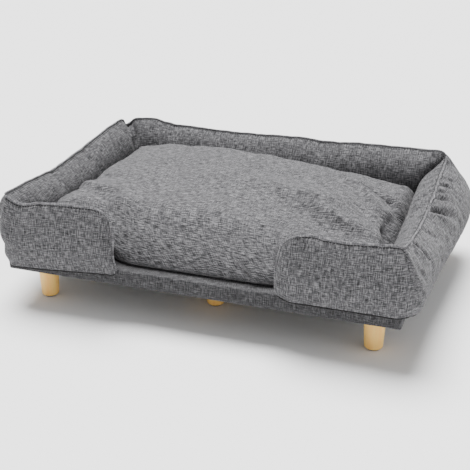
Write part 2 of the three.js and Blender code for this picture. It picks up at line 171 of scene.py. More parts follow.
def make_mesh(name, points_mm, faces, material, uv=None, body="bed", slot=None, loop_uv=None, helper=False):
    """A mesh object in metres; uv is given for each vertex, or loop_uv for each face corner."""
    mesh = bpy.data.meshes.new(name)
    mesh.from_pydata((np.asarray(points_mm, float) * MM).tolist(), [], [list(f) for f in faces])
    mesh.polygons.foreach_set("use_smooth", [True] * len(mesh.polygons))
    if uv is not None:
        loop_uv = np.asarray(uv, float)[read(mesh.loops, "vertex_index", kind=int)]
    if loop_uv is not None:
        layer = mesh.uv_layers.new(name="weave")
        layer.data.foreach_set("uv", (np.asarray(loop_uv, float) * MM).astype(np.float32).ravel())
    mesh.materials.append(material)
    mesh.update()
    obj = bpy.data.objects.new(name, mesh)
    bpy.context.scene.collection.objects.link(obj)
    if not helper:
        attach(obj, body)
    return obj


def grid_faces(index):
    """Quads between the neighbours in a 2-D array of vertex numbers, without those that collapse."""
    faces = []
    for i in range(index.shape[0] - 1):
        for j in range(index.shape[1] - 1):
            corners = [index[i, j], index[i + 1, j], index[i + 1, j + 1], index[i, j + 1]]
            corners = list(dict.fromkeys(int(c) for c in corners))
            if len(corners) > 2:
                faces.append(corners)
    return faces


def ring_faces(rings, sides, first=0, ends=True):
    """Faces round a row of rings of points; with ends, both end rings are closed too."""
    index = np.arange(first, first + rings * sides).reshape(rings, sides)
    faces = grid_faces(np.c_[index, index[:, :1]])
    if ends:
        faces += [index[0].tolist(), index[-1][::-1].tolist()]
    return faces


def coords(obj):
    return read(obj.data.vertices, "co", 3).astype(float) / MM


def normals(obj):
    return read(obj.data.vertices, "normal", 3).astype(float)


def set_coords(obj, points_mm):
    obj.data.vertices.foreach_set("co", (np.asarray(points_mm) * MM).astype(np.float32).ravel())
    obj.data.update()


def outward(obj):
    """Turns the faces out if the closed mesh is inside out."""
    points = coords(obj)
    mesh = obj.data
    volume = 0.0
    for polygon in mesh.polygons:
        v = polygon.vertices
        for k in range(1, len(v) - 1):
            volume += np.dot(points[v[0]], np.cross(points[v[k]], points[v[k + 1]]))
    if volume < 0:
        mesh.flip_normals()
    mesh.update()


def recalculate_normals(obj):
    work = bmesh.new()
    work.from_mesh(obj.data)
    bmesh.ops.recalc_face_normals(work, faces=work.faces)
    work.to_mesh(obj.data)
    work.free()


def subdivided(obj):
    """Applies one Catmull-Clark subdivision, keeping the object."""
    modifier = obj.modifiers.new("fine", "SUBSURF")
    modifier.levels = 1
    modifier.render_levels = 1
    apply_modifiers(obj)


def apply_modifiers(obj):
    """Makes what the modifiers give the object's own mesh."""
    graph = bpy.context.evaluated_depsgraph_get()
    finished = bpy.data.meshes.new_from_object(obj.evaluated_get(graph))
    obj.modifiers.clear()
    old = obj.data
    obj.data = finished
    bpy.data.meshes.remove(old)


def tube(name, line, radius, material, squeeze=(1.0, 1.0), up=None, slot=None, sides=10):
    """A round cord along a line of points, with rounded ends; up gives the direction of its second axis."""
    line = np.asarray(line, float)
    ahead = np.gradient(line, axis=0)
    ahead /= np.linalg.norm(ahead, axis=1)[:, None]
    up = np.tile((0.0, 0.0, 1.0), (len(line), 1)) if up is None else np.asarray(up, float)
    side = np.cross(ahead, up)
    side /= np.linalg.norm(side, axis=1)[:, None]
    top = np.cross(side, ahead)
    along = length_along(line)
    from_end = np.minimum(along, along[-1] - along) / radius
    size = radius * np.sqrt(np.clip(1 - (1 - np.clip(from_end, 0, 1)) ** 2, 0.04, 1))[:, None, None]
    angle = full_turn(sides)
    ring = np.stack([np.cos(angle) * squeeze[0], np.sin(angle) * squeeze[1]], 1)
    points = line[:, None] + size * ring[None, :, :1] * side[:, None]
    points += size * ring[None, :, 1:] * top[:, None]
    uv = np.stack([np.repeat(along, sides), np.tile(angle * radius, len(line))], 1)
    faces = ring_faces(len(line), sides)
    obj = make_mesh(name, points.reshape(-1, 3), faces, material, uv, slot=slot)
    outward(obj)
    return obj


# ---------- materials ----------
class Nodes:
    """A short way to write a node tree."""

    def __init__(self, name):
        self.material = bpy.data.materials.new(name)
        self.material.use_nodes = True
        self.tree = self.material.node_tree
        self.shader = self.tree.nodes["Principled BSDF"]

    def add(self, kind, inputs=None, **settings):
        node = self.tree.nodes.new(kind)
        for key, value in settings.items():
            setattr(node, key, value)
        for key, value in (inputs or {}).items():
            self.set(node.inputs[key], value)
        return node

    def set(self, socket, value):
        if isinstance(value, bpy.types.NodeSocket):
            self.tree.links.new(value, socket)
        else:
            socket.default_value = value

    def constants(self, **values):
        """Sets unlinked inputs of the shader; an underscore in a name stands for a space."""
        for name, value in values.items():
            self.shader.inputs[name.replace("_", " ")].default_value = value

    def place(self):
        return self.add("ShaderNodeTexCoord").outputs["Object"]

    def math(self, operation, a, b=0.0):
        return self.add("ShaderNodeMath", {0: a, 1: b}, operation=operation).outputs[0]

    def mix(self, factor, a, b):
        node = self.add("ShaderNodeMix", data_type="RGBA")
        self.set(node.inputs[0], factor)
        self.set(node.inputs[6], a)
        self.set(node.inputs[7], b)
        return node.outputs[2]

    def stretch(self, vector, scale):
        return self.add("ShaderNodeMapping", {"Vector": vector, "Scale": scale}).outputs[0]

    def noise(self, vector, detail=2.0, roughness=0.5):
        inputs = {"Vector": vector, "Scale": 1.0, "Detail": detail, "Roughness": roughness}
        return self.add("ShaderNodeTexNoise", inputs).outputs["Fac"]

    def ramp(self, factor, stops):
        node = self.add("ShaderNodeValToRGB", {"Fac": factor})
        ends = node.color_ramp.elements
        while len(ends) < len(stops):
            ends.new(0.5)
        for element, (place, colour) in zip(ends, stops):
            element.position = place
            element.color = (*colour, 1.0)
        return node.outputs[0]

    def bump(self, height, strength, distance):
        inputs = {"Height": height, "Strength": strength, "Distance": distance}
        normal = self.add("ShaderNodeBump", inputs).outputs[0]
        self.set(self.shader.inputs["Normal"], normal)


def linen(name, brightness=1.0, by_uv=True, weft_share=1.0, contrast=1.0):
    """Melange weave: dark and light slubs run both ways over a mid grey; scales are cells per metre."""
    n = Nodes(name)
    vector = n.add("ShaderNodeUVMap", uv_map="weave").outputs[0] if by_uv else n.place()
    along_thread, across_thread, depth = 56, 540, 280
    weft = n.noise(n.stretch(vector, (along_thread, across_thread, depth)), detail=1.6, roughness=0.6)
    warp = n.noise(n.stretch(vector, (across_thread, along_thread, depth)), detail=1.6, roughness=0.6)
    fleck = n.noise(n.stretch(vector, (520, 520, 520)), detail=1.0, roughness=0.6)
    cloud = n.noise(n.stretch(vector, (16, 16, 16)), detail=2.0)
    both = n.math("MULTIPLY", weft, 0.5 * weft_share)
    threads = n.math("ADD", both, n.math("MULTIPLY", warp, 0.5 * (2 - weft_share)))
    for pattern, share in ((fleck, 0.24), (cloud, 0.05)):
        threads = n.math("ADD", threads, n.math("MULTIPLY", n.math("SUBTRACT", pattern, 0.5), share))
    dark, mid, light = 0.016 * brightness, 0.080 * brightness, 0.235 * brightness
    spread = 0.18 / contrast
    colour = n.ramp(threads, [
        (0.5 - spread, (dark, dark, dark * 1.08)),
        (0.5, (mid, mid * 0.985, mid * 1.04)),
        (0.5 + spread, (light, light * 0.985, light * 1.02)),
    ])
    n.set(n.shader.inputs["Base Color"], colour)
    n.constants(Roughness=0.93, Sheen_Weight=0.08, Sheen_Roughness=0.5, Specular_IOR_Level=0.2)
    wave = {"Vector": vector, "Scale": 260.0, "Distortion": 1.2, "Detail": 1.0, "Detail Scale": 2.0}
    across = n.add("ShaderNodeTexWave", wave, bands_direction="X").outputs["Fac"]
    along = n.add("ShaderNodeTexWave", wave, bands_direction="Y").outputs["Fac"]
    weave = n.math("MULTIPLY", across, along)
    height = n.math("ADD", n.math("MULTIPLY", weave, 0.5), n.math("MULTIPLY", threads, 1.6))
    n.bump(height, 0.36, 0.0012)
    return n.material


def wood(name, colour, darker, grain=1.0, roughness=0.45):
    """Wood with its grain along Z."""
    n = Nodes(name)
    vector = n.place()
    fibres = n.noise(n.stretch(vector, (420 * grain, 420 * grain, 9 * grain)), detail=4.0, roughness=0.6)
    bands = n.noise(n.stretch(vector, (60 * grain, 60 * grain, 3 * grain)), detail=3.0)
    pores = n.noise(n.stretch(vector, (1500 * grain, 1500 * grain, 40 * grain)), detail=1.0)
    mixed = n.math("ADD", n.math("MULTIPLY", fibres, 0.45), n.math("MULTIPLY", bands, 0.55))
    tone = n.ramp(mixed, [(0.36, darker), (0.62, colour)])
    dark_pores = n.math("GREATER_THAN", pores, 0.68)
    pore_colour = tuple(0.72 * c for c in darker)
    tone = n.mix(n.math("MULTIPLY", dark_pores, 0.35), tone, (*pore_colour, 1.0))
    n.set(n.shader.inputs["Base Color"], tone)
    n.set(n.shader.inputs["Roughness"], n.math("ADD", n.math("MULTIPLY", fibres, 0.18), roughness - 0.08))
    n.bump(n.math("ADD", fibres, n.math("MULTIPLY", pores, 0.4)), 0.18, 0.0006)
    return n.material


def metal(name, colour, roughness):
    """Brushed metal."""
    n = Nodes(name)
    vector = n.place()
    brushed = n.noise(n.stretch(vector, (300, 300, 2600)), detail=3.0)
    n.constants(Metallic=1.0)
    n.set(n.shader.inputs["Base Color"], n.mix(brushed, (*[0.8 * c for c in colour], 1), (*colour, 1)))
    n.set(n.shader.inputs["Roughness"], n.math("ADD", n.math("MULTIPLY", brushed, 0.2), roughness))
    n.bump(brushed, 0.08, 0.0003)
    return n.material


def matted(name, colour, scale, strength=0.6):
    """Felt, fibre wadding, foam or a non-woven: a mat of fine fibres or cells."""
    n = Nodes(name)
    vector = n.place()
    fibres = n.noise(n.stretch(vector, (scale, scale, scale)), detail=5.0, roughness=0.7)
    cells = n.add("ShaderNodeTexVoronoi", {"Vector": vector, "Scale": scale * 1.3}).outputs["Distance"]
    tone = n.mix(fibres, (*[0.7 * c for c in colour], 1), (*[min(1.2 * c, 1) for c in colour], 1))
    n.set(n.shader.inputs["Base Color"], tone)
    n.constants(Roughness=0.95, Sheen_Weight=0.2)
    n.bump(n.math("ADD", fibres, cells), strength, 0.0008)
    return n.material


LINEN = linen("linen_weave", 0.93, contrast=1.32)
# The base's cover is the wall linen painted darker: painted shade for the shade the cushion and the wings
# cast on the base.
LINEN_BASE_SHADED = linen("linen_base_painted_shade", 0.54, contrast=1.12)
LINEN_TOP = linen("linen_cushion", 0.94, weft_share=1.3, contrast=1.5)
# The welts are the wall linen painted lighter: a painted highlight for the light along the seams.
LINEN_WELT_LIT = linen("linen_welt_painted_highlight", 1.5)
# Dark thread for the stitches and for the cords along the walls' lower edges: beside the welts its darkness
# also paints the shade of the groove, and the cords are painted shade.
THREAD_AND_SHADE = linen("dark_thread_and_painted_shade", 0.16)
BEECH = wood("beech_turned", (1.0, 0.65, 0.19), (1.0, 0.55, 0.14))
PINE = wood("pine_rail", (0.70, 0.52, 0.30), (0.55, 0.37, 0.18), 0.6, 0.6)
PLYWOOD = wood("plywood_deck", (0.62, 0.45, 0.26), (0.50, 0.33, 0.17), 0.4, 0.6)
STEEL = metal("zinc_steel", (0.62, 0.63, 0.65), 0.25)
FELT = matted("felt_pad", (0.10, 0.085, 0.07), 900)
NONWOVEN = matted("nonwoven_black", (0.022, 0.022, 0.023), 700, 0.4)
FOAM = matted("deck_foam", (0.80, 0.76, 0.62), 500)
FIBRE = matted("fibre_fill", (0.88, 0.88, 0.87), 260)
TAPE = linen("zip_tape", 0.3, by_uv=False)
TEETH = matted("zip_teeth", (0.05, 0.05, 0.052), 1500, 0.1)


# ---------- padded walls ----------
ROWS = 22  # of each panel, from the seam down
STRIP_ROWS = 7  # of the strip below a wall
INNER = ROWS + STRIP_ROWS  # first row of the inner panel
LOOP = INNER + ROWS - 1  # points round a section
ROUND = 46  # radius of the ring's outer corners
SHARP = 4  # and of its inner ones
BLEND = 60  # length over which two segments meet in a corner

# Where the top seams meet: front and rear corners along Y, and the others along X.
FRONT, REAR = -327, 312
CORNER, WING_CORNER = 454, 456
# Measures along each stretch of the wall, as (place on the seam, value) pairs: seam is the top
# seam's depth inside the outer face, top and low are heights of the seam and the lower edge, widest
# is the depth of the widest line, out and in are the bulges of the outer and inner panel. For the
# whole stretch, foot is the depth of the inner foot, roll sets how full the outer bulge is (lower is
# fuller), and rise over 1 moves the inner bulge up.
WALLS = {
    "left_wing": {
        "seam": [(222, 30), (400, 30), (WING_CORNER, 26)], "foot": 68,
        "top": [(220, 260), (240, 265), (360, 260), (410, 250), (WING_CORNER, 268)],
        "low": [(180, 113), (WING_CORNER, 95)],
        "widest": [(180, 14), (WING_CORNER, 14)],
        "out": [(180, 10), (330, 15), (WING_CORNER, 18)],
        "in": [(180, 8), (330, 18), (WING_CORNER, 22)],
    },
    "left_wall": {
        "seam": [(FRONT, 36), (-270, 43), (REAR, 44)], "foot": 84, "roll": 0.52, "rise": 1.22,
        "top": [(FRONT, 270), (-235, 267), (-90, 258), (155, 273), (255, 278), (295, 272), (REAR, 258)],
        "low": [(FRONT, 95), (-240, 104), (-100, 109), (REAR, 110)],
        "widest": [(FRONT, 20), (-200, 14), (REAR, 12)],
        "out": [(FRONT, 20), (-200, 31), (REAR, 30)],
        "in": [(FRONT, 24), (-250, 28), (0, 29), (REAR, 30)],
    },
    "back_wall": {
        "seam": [(-CORNER, 44), (CORNER, 44)], "foot": 90, "roll": 0.6, "rise": 1.12,
        "top": [(-CORNER, 256), (-425, 273), (-365, 278), (-330, 271), (-120, 262), (65, 266), (160, 263),
                (230, 267), (440, 268), (CORNER, 260)],
        "low": [(-CORNER, 110), (CORNER, 110)],
        "widest": [(-CORNER, 10), (-430, 8), (430, 8), (CORNER, 0)],
        "out": [(-CORNER, 28), (0, 28), (CORNER, 22)],
        "in": [(-CORNER, 30), (0, 33), (CORNER, 34)],
    },
    "right_wall": {
        "seam": [(FRONT, 46), (REAR, 46)], "foot": 92,
        "top": [(FRONT, 270), (-300, 260), (-210, 243), (0, 219), (175, 236), (290, 244), (REAR, 260)],
        "low": [(FRONT, 120), (-200, 114), (REAR, 112)],
        "widest": [(FRONT, 4), (-150, -4), (220, -31), (270, -26), (REAR, -8)],
        "out": [(FRONT, 20), (-200, 19), (0, 17), (REAR, 20)],
        "in": [(FRONT, 24), (0, 30), (REAR, 34)],
    },
    "right_wing": {
        "seam": [(212, 30), (WING_CORNER, 30)], "foot": 68,
        "top": [(220, 258), (240, 265), (270, 269), (320, 263), (WING_CORNER, 270)],
        "low": [(220, 126), (250, 114), (420, 114), (WING_CORNER, 120)],
        "widest": [(180, 12), (WING_CORNER, 12)],
        "out": [(180, 10), (330, 15), (WING_CORNER, 18)],
        "in": [(180, 8), (330, 18), (WING_CORNER, 22)],
    },
}
# Where a wing ends, as (share of its height, distance from the middle) pairs.
WING_ENDS = {
    "left_wing": [(0, 175), (0.3, 189), (0.75, 193), (0.9, 198), (1, 216)],
    "right_wing": [(0, 187), (0.3, 187), (0.75, 196), (0.9, 202), (1, 222)],
}
SIDES = {"left_wing": ("y", -1), "left_wall": ("x", -1), "back_wall": ("y", 1), "right_wall": ("x", 1),
         "right_wing": ("y", -1)}
WALL_NAMES = list(WALLS)
HALF = {"x": OUT_X, "y": OUT_Y}
EDGE = {"x": OUT_X - BASE_X, "y": OUT_Y - BASE_Y}
# How far the inner panel draws in at a wall's start and end, where two walls meet in a crease.
CREASES = {"left_wall": (0, 32), "back_wall": (32, 20), "right_wall": (16, 0)}


def stations_of(name):
    """Seam places of a segment's stations, in the ring's direction, and their share of its length."""
    start, end = WALLS[name]["seam"][0][0], WALLS[name]["seam"][-1][0]
    count = int(2 * (OUT_X if name == "back_wall" else OUT_Y) / PITCH)
    if name.endswith("wing"):
        start = WING_ENDS[name][-1][1]
        count = int(OUT_X - WING_END) // int(PITCH) + 1
    if name.startswith("right"):
        start, end = end, start
    return np.linspace(start, end, count), np.linspace(0, 1, count)


def bulged(start, end, amount, power, rise=1.0):
    """Points from start to end in a section, pushed out by a bulge; a rise over 1 moves it to the end."""
    start, end = np.asarray(start, float), np.asarray(end, float)
    share = np.linspace(0, 1, ROWS)
    chord = end - start
    normal = np.array([chord[1], -chord[0]]) / np.linalg.norm(chord)
    lift = np.sin(math.pi * share**rise) ** power
    return start + chord * share[:, None] + amount * lift[:, None] * normal


def wall_section(name, place, seed):
    """One loop of a wall in (depth, height): outer panel, strip below, inner panel."""
    wall = WALLS[name]
    low, widest, out, into = (float(through(wall[key], place)) for key in ("low", "widest", "out", "in"))
    seam_depth = float(through(wall["seam"], place)) + float(ripple(place, seed, 230))
    top = float(through(wall["top"], place)) + 0.8 * float(ripple(place, seed + 1, 80))
    seam = (seam_depth, top)
    foot = wall["foot"]
    outer = bulged(seam, (widest, low + 15), out, wall.get("roll", 0.68))
    inner = bulged((foot, FLOOR), seam, into, 0.72, wall.get("rise", 1))
    edge = EDGE[SIDES[name][0]] - GAP - 0.6
    curl = min(9.0, max(edge - widest, 2) * 0.8)
    strip = [
        (widest + 0.12 * curl, low + 7),
        (widest + 0.5 * curl, low + 1.5),
        (max(widest + curl, edge - 6), low),
        (edge, low + 3),
        (edge, FLOOR),
        (edge + (foot - edge) * 0.33, FLOOR),
        (edge + (foot - edge) * 0.66, FLOOR),
    ]
    return np.vstack([outer, strip, inner[:-1]])


def wing_tip(name, sections, shares):
    """Closes a wing's end: the panels draw together towards the end seam."""
    inner_length, outer_length = 46, 26
    for section, share in zip(sections, shares):
        from_end = (OUT_X - WING_END) * (share if name == "left_wing" else 1 - share)
        near = rounded(from_end / inner_length)
        near_out = rounded(from_end / outer_length)
        seam = section[0, 0]
        tip = seam + (section[:ROWS, 0] - seam) * smooth(0.55, 1, np.linspace(0, 1, ROWS))
        section[:ROWS, 0] = tip + (section[:ROWS, 0] - tip) * near_out
        section[ROWS:INNER, 0] = tip[-1] + (section[ROWS:INNER, 0] - tip[-1]) * near
        section[INNER:, 0] = tip[:0:-1] + (section[INNER:, 0] - tip[:0:-1]) * near
        if from_end == 0:
            section[ROWS:INNER, 1] = section[ROWS - 1, 1]
            section[INNER:] = section[1:ROWS][::-1]


def pinch(sections, from_corner, inner_amount):
    """Rounds off a wall's end where it meets the next wall in a crease."""
    inner_width, outer_width, outer_amount = 40, 14, 5
    row = np.linspace(0, 1, ROWS)
    top_fade = smooth(0.0, 0.12, row[1:]) * (1 - 0.6 * smooth(0.55, 1.0, row[1:]))
    for section, distance in zip(sections, from_corner):
        draw = inner_amount * (1 - rounded(distance / inner_width))
        inner = section[INNER:][::-1]
        inner[:, 0] -= draw * 0.75 * top_fade
        inner[:, 1] -= draw * 0.55 * top_fade * (1 - row[1:])
        draw = outer_amount * (1 - rounded(distance / outer_width))
        section[:ROWS, 0] += draw * np.sin(np.clip(row * 1.25, 0, 1) * math.pi) ** 0.5


def ring_points():
    """Places and cloth coordinates of the whole ring of walls, with the segment of each station gap."""
    all_sections, all_shares = [], []
    for k, name in enumerate(WALL_NAMES):
        places, shares = stations_of(name)
        sections = np.array([wall_section(name, p, 40 + 10 * k) for p in places])
        length = 2 * (OUT_X if name == "back_wall" else OUT_Y)
        if name.endswith("wing"):
            wing_tip(name, sections, shares)
        at_start, at_end = CREASES.get(name, (0, 0))
        if at_end:
            pinch(sections, (1 - shares) * length, at_end)
        if at_start:
            pinch(sections, shares * length, at_start)
        all_sections.append(sections)
        all_shares.append(shares)
    for k in range(4):
        match_corner(all_sections[k], all_sections[k + 1])
    places, cloth = [], []
    for k, name in enumerate(WALL_NAMES):
        points, uv = lay_out(k, all_sections, all_shares[k])
        places.append(points if k == 0 else points[1:])
        cloth.append(uv)
    return np.concatenate(places), cloth


def match_corner(before, after):
    """Gives both segments the same heights where they share a corner."""
    middle = (before[-1, :, 1] + after[0, :, 1]) / 2
    for sections, order in ((before, -1), (after, 1)):
        run = sections[::order]
        change = middle - run[0, :, 1]
        for i in range(min(int(BLEND / PITCH), len(run))):
            run[i, :, 1] += change * float(1 - smooth(0, BLEND, i * PITCH))


def sign_x(name):
    return -1 if name.startswith("left") else 1


def lay_out(k, all_sections, shares):
    """Places one segment's sections along its side, with round corners."""
    name = WALL_NAMES[k]
    axis, sign = SIDES[name]
    sections = all_sections[k]
    normal = sign * (HALF[axis] - sections[:, :, 0])
    if k == 0:
        start = -wing_end_line(name, sections[0])
    else:
        start = neighbour_line(k - 1, all_sections, -1)
    if k == 4:
        end = wing_end_line(name, sections[-1])
    else:
        end = neighbour_line(k + 1, all_sections, 0)
    along = start + (end - start) * shares[:, None]
    if name.endswith("wing"):
        along += sign_x(name) * foot_setback(sections, shares if k == 0 else 1 - shares)
    u = along * (1 if k in (1, 2, 4) else -1) + 400.0 * k  # each segment has its own piece of cloth
    down = length_along(sections.mean(0))
    round_trip = np.r_[down[:INNER], down[INNER:] - down[-1] - 7]
    uv = np.stack([u, np.broadcast_to(-round_trip, u.shape)], 2)
    for corner, exists, station in ((start, k > 0, 0), (end, k < 4, -1)):
        if exists:
            other = all_sections[k - 1][-1] if station == 0 else all_sections[k + 1][0]
            depth = (sections[station, :, 0] + other[:, 0]) / 2
            normal, along = round_corner(normal, along, corner, station, sign, depth)
    points = np.zeros((*along.shape, 3))
    points[:, :, 0] = along if axis == "y" else normal
    points[:, :, 1] = normal if axis == "y" else along
    points[:, :, 2] = sections[:, :, 1]
    return points, uv


def foot_setback(sections, from_end):
    """How far a wing's foot lies behind its end seam, row by row."""
    row = np.zeros(LOOP)
    row[ROWS:INNER] = np.linspace(0, 1, STRIP_ROWS)
    height = sections[:, INNER:, 1].mean(0) - FLOOR
    row[INNER:] = 1 - smooth(0, 70, height)
    distance = from_end * (OUT_X - WING_END)
    return 22 * row * (np.exp(-distance / 50) * smooth(0, 7, distance))[:, None]


def neighbour_line(k, all_sections, station):
    """Where the next segment's face stands at a shared corner, row by row."""
    axis, sign = SIDES[WALL_NAMES[k]]
    return sign * (HALF[axis] - all_sections[k][station, :, 0])


def wing_end_line(name, section):
    """Distance of the wing's end from the middle at each row, from its height there."""
    low, high = section[ROWS - 1, 1], section[0, 1]
    share = (section[:, 1] - low) / (high - low)
    return through(WING_ENDS[name], share)


def round_corner(normal, along, corner, station, sign, depth):
    """Bends a segment's last stations round half of a corner."""
    radius = np.clip(ROUND - depth, SHARP, ROUND)
    across = normal[station].copy()
    side = np.sign(corner)
    distance = np.abs(along - corner)
    near = distance < radius
    share = np.clip(distance / radius, 0, 1)
    angle = math.pi / 4 * (1 - share)
    new_normal = across - sign * radius + sign * radius * np.cos(angle) + (normal - across) * share
    new_along = corner - side * radius + side * radius * np.sin(angle)
    return np.where(near, new_normal, normal), np.where(near, new_along, along)


def make_ring():
    """The whole ring as one closed cloth, a helper that is later cut into the five walls."""
    points, cloth = ring_points()
    stations = len(points)
    index = np.arange(stations * LOOP).reshape(stations, LOOP)
    for end in (0, stations - 1):
        index[end, INNER:] = index[end, 1:ROWS][::-1]
        index[end, ROWS:INNER] = index[end, ROWS - 1]
    faces, loop_uv, segment = [], [], []
    base = 0
    for k, uv in enumerate(cloth):
        for i in range(len(uv) - 1):
            for j in range(LOOP):
                n = (j + 1) % LOOP
                after_v = uv[i:i + 2, n, 1] if n else np.array([0.0, 0.0])
                corners = [
                    (index[base + i, j], uv[i, j]),
                    (index[base + i + 1, j], uv[i + 1, j]),
                    (index[base + i + 1, n], (uv[i + 1, n, 0], after_v[1])),
                    (index[base + i, n], (uv[i, n, 0], after_v[0])),
                ]
                kept = {}
                for vertex, place in corners:
                    kept.setdefault(int(vertex), place)
                if len(kept) > 2:
                    faces.append(list(kept))
                    loop_uv += kept.values()
                    segment.append(k)
        base += len(uv) - 1
    used = np.zeros(stations * LOOP, bool)
    used[np.concatenate([np.array(f) for f in faces])] = True
    renumber = np.cumsum(used) - 1
    faces = [[int(renumber[v]) for v in f] for f in faces]
    obj = make_mesh("wall_ring", points.reshape(-1, 3)[used], faces, LINEN, loop_uv=loop_uv, helper=True)
    for _ in WALL_NAMES[1:]:
        obj.data.materials.append(LINEN)
    obj.data.polygons.foreach_set("material_index", segment)
    outward(obj)
    return obj, renumber[index], ring_pins(stations, cloth).reshape(-1)[used]


def ring_pins(stations, cloth):
    """How firmly the simulation holds each point: the seam, the strip below and the corners stay."""
    pins = np.zeros((stations, LOOP))
    pins[:, 0] = 1
    pins[:, ROWS] = 0.5
    pins[:, ROWS + 1:INNER + 1] = 1
    pins[[0, -1]] = 1
    corner = 0
    for k, uv in enumerate(cloth[:-1]):
        corner += len(uv) - 1
        pins[corner, INNER:] = 1
        if WALL_NAMES[k + 1] in ("back_wall", "right_wall"):
            pins[corner] = 1
    return pins


# ---------- loose cushion ----------
# Heights of the cushion's top along its rear, its middle and its front, as (x, height) pairs.
CUSHION_REAR_TOP = [(-394, 214), (-330, 224), (-270, 237), (-150, 245), (-50, 242), (210, 216),
                    (394, 192)]
CUSHION_MIDDLE_TOP = [(-394, 222), (-300, 238), (-75, 249), (150, 236), (394, 182)]
CUSHION_FRONT_TOP = [(-394, 224), (-300, 236), (-130, 241), (70, 231), (230, 190), (394, 162)]
# Folds of the cloth: points along the fold, height (below zero is a valley), half width, and the
# share of that width on its right-hand side, seen along the line.
CUSHION_FOLDS = [
    ([(60, -30), (160, -30), (240, -15), (270, -40)], 9, 46, 0.4),
    ([(190, -50), (260, -80), (370, -95)], 13, 32, 0.5),
    ([(215, 165), (270, 130), (330, 35), (385, 15)], 13, 28, 0.5),
    ([(275, 130), (350, 110), (390, 60)], -15, 11, 1),
    ([(350, 110), (390, 60)], -17, 13, 1),
    ([(365, 5), (390, -95)], -26, 20, 1),
    ([(120, -80), (250, -120), (330, -140)], -9, 26, 1),
    ([(290, 10), (340, -50)], -6, 14, 1),
    ([(-375, -110), (-310, -150), (-240, -165)], 10, 24, 0.5),
    ([(-310, -175), (-285, -195), (-225, -255)], -10, 24, 1),
    ([(-390, -50), (-270, -80)], -7, 24, 1),
    ([(-120, -60), (-40, -90), (50, -95)], -4, 40, 1),
    ([(-250, 60), (-150, 90), (-40, 80)], 4, 45, 1),
    ([(40, 60), (120, 70), (200, 50)], -5, 30, 1),
    ([(65, -285, 215), (85, -300, 195), (100, -305, 170), (120, -310, 140)], -13, 8, 1),
    ([(85, -280, 215), (105, -300, 190), (120, -305, 170), (140, -310, 140)], 9, 11, 1),
    ([(-150, -260), (-60, -270), (60, -260)], -4, 12, 1),
    ([(-185, -260, 230), (-180, -290, 210), (-175, -305, 160)], -11, 17, 1),
    ([(205, -255, 215), (200, -280, 195), (195, -300, 150)], -11, 17, 1),
]


def graded(length, radius_start, radius_end, pitch, steps=7):
    """Distances from 0 to length, close together where the edges round over."""
    turn = 1 - np.cos(np.linspace(0, math.pi / 2, steps + 1))
    inner = length - radius_start - radius_end
    middle = radius_start + np.linspace(0, inner, max(int(inner / pitch), 2) + 1)
    return np.r_[turn * radius_start, middle[1:-1], length - turn[::-1] * radius_end]


def cushion_front(x):
    """The front edge: it comes forward between the wings."""
    return -286 - 22 * np.exp(-np.abs(np.asarray(x) / 200.0) ** 12)


def cushion_height(x, y):
    """Height of the crowned top, before it rolls over at the edges."""
    rear = through(CUSHION_REAR_TOP, x)
    middle = through(CUSHION_MIDDLE_TOP, x)
    front = through(CUSHION_FRONT_TOP, x)
    back_share = smooth(0, CUSHION_REAR, y)
    front_share = smooth(0, -200, y)
    return middle + (rear - middle) * back_share + (front - middle) * front_share


def surface_length(points, axis):
    """Distance along a grid of points in one of its directions, measured on the surface."""
    steps = np.linalg.norm(np.diff(points, axis=axis), axis=2)
    start = np.zeros_like(np.take(steps, [0], axis))
    return np.cumsum(np.concatenate([start, steps], axis), axis)


def cushion_surfaces():
    """Grids of points for the top, which rolls over its edges, and for the flat underside."""
    left_round, right_round, rear_round = 15, 34, 34
    xs = -CUSHION_X + graded(2 * CUSHION_X, left_round, right_round, CUSHION_PITCH)
    depth = CUSHION_REAR - cushion_front(0.0)
    shares = graded(depth, 80, rear_round, CUSHION_PITCH, 9) / depth
    x, share = np.meshgrid(xs, shares, indexing="ij")
    front = cushion_front(x)
    y = front + (CUSHION_REAR - front) * share
    side = rounded((CUSHION_X - np.abs(x)) / np.where(x < 0, left_round, right_round))
    rear_roll = rear_round - 16 * smooth(-200, -380, x)
    edge = side * rounded((CUSHION_REAR - y) / rear_roll)
    front_roll = 80 + 40 * np.exp(-((x / 220) ** 4))
    reach = np.clip((y - front) / front_roll, 0, 1)
    slope = 0.5 * rounded(reach) ** 0.8 + 0.5 * np.sin(reach * math.pi / 2)
    rim = FLOOR + CUSHION_RIM
    z_top = rim + (cushion_height(x, y) - rim) * edge**0.8 * slope
    bulge = np.sin(math.pi * np.clip(edge * rounded(reach), 0, 1)) * smooth(60, 0, y - front)
    nearest = np.minimum(np.minimum(CUSHION_X - np.abs(x), CUSHION_REAR - y), y - front)
    z_low = FLOOR + CUSHION_RIM * (1 - rounded(nearest / 14))
    return np.stack([x, y - 7 * bulge, z_top], 2), np.stack([x, y, z_low], 2)


def make_cushion():
    """One closed cloth, with the points that the simulation holds: the rim and the underside."""
    top, low = cushion_surfaces()
    count, size = top.shape[:2], top[:, :, 0].size
    rim = np.ones(count, bool)
    rim[1:-1, 1:-1] = False
    upper = np.arange(size).reshape(count)
    lower = np.where(rim, upper, upper + size)
    keep = np.r_[np.ones(size, bool), ~rim.ravel()]
    renumber = np.cumsum(keep) - 1
    points = np.concatenate([top.reshape(-1, 3), low.reshape(-1, 3)])[keep]
    both_sides = grid_faces(upper) + [face[::-1] for face in grid_faces(lower)]
    faces = [[int(renumber[v]) for v in face] for face in both_sides]
    flat = np.stack([surface_length(top, 0), surface_length(top, 1)], 2).reshape(-1, 2)
    uv = np.concatenate([flat, flat])[keep] + (0, 2500)
    obj = make_mesh("cushion", points, faces, LINEN_TOP, uv, body="cushion", slot="linen_weave")
    outward(obj)
    pins = np.ones(len(points))
    pins[:size] = rim.ravel()
    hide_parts("cushion_cover", "cushion_fill")
    return obj, pins


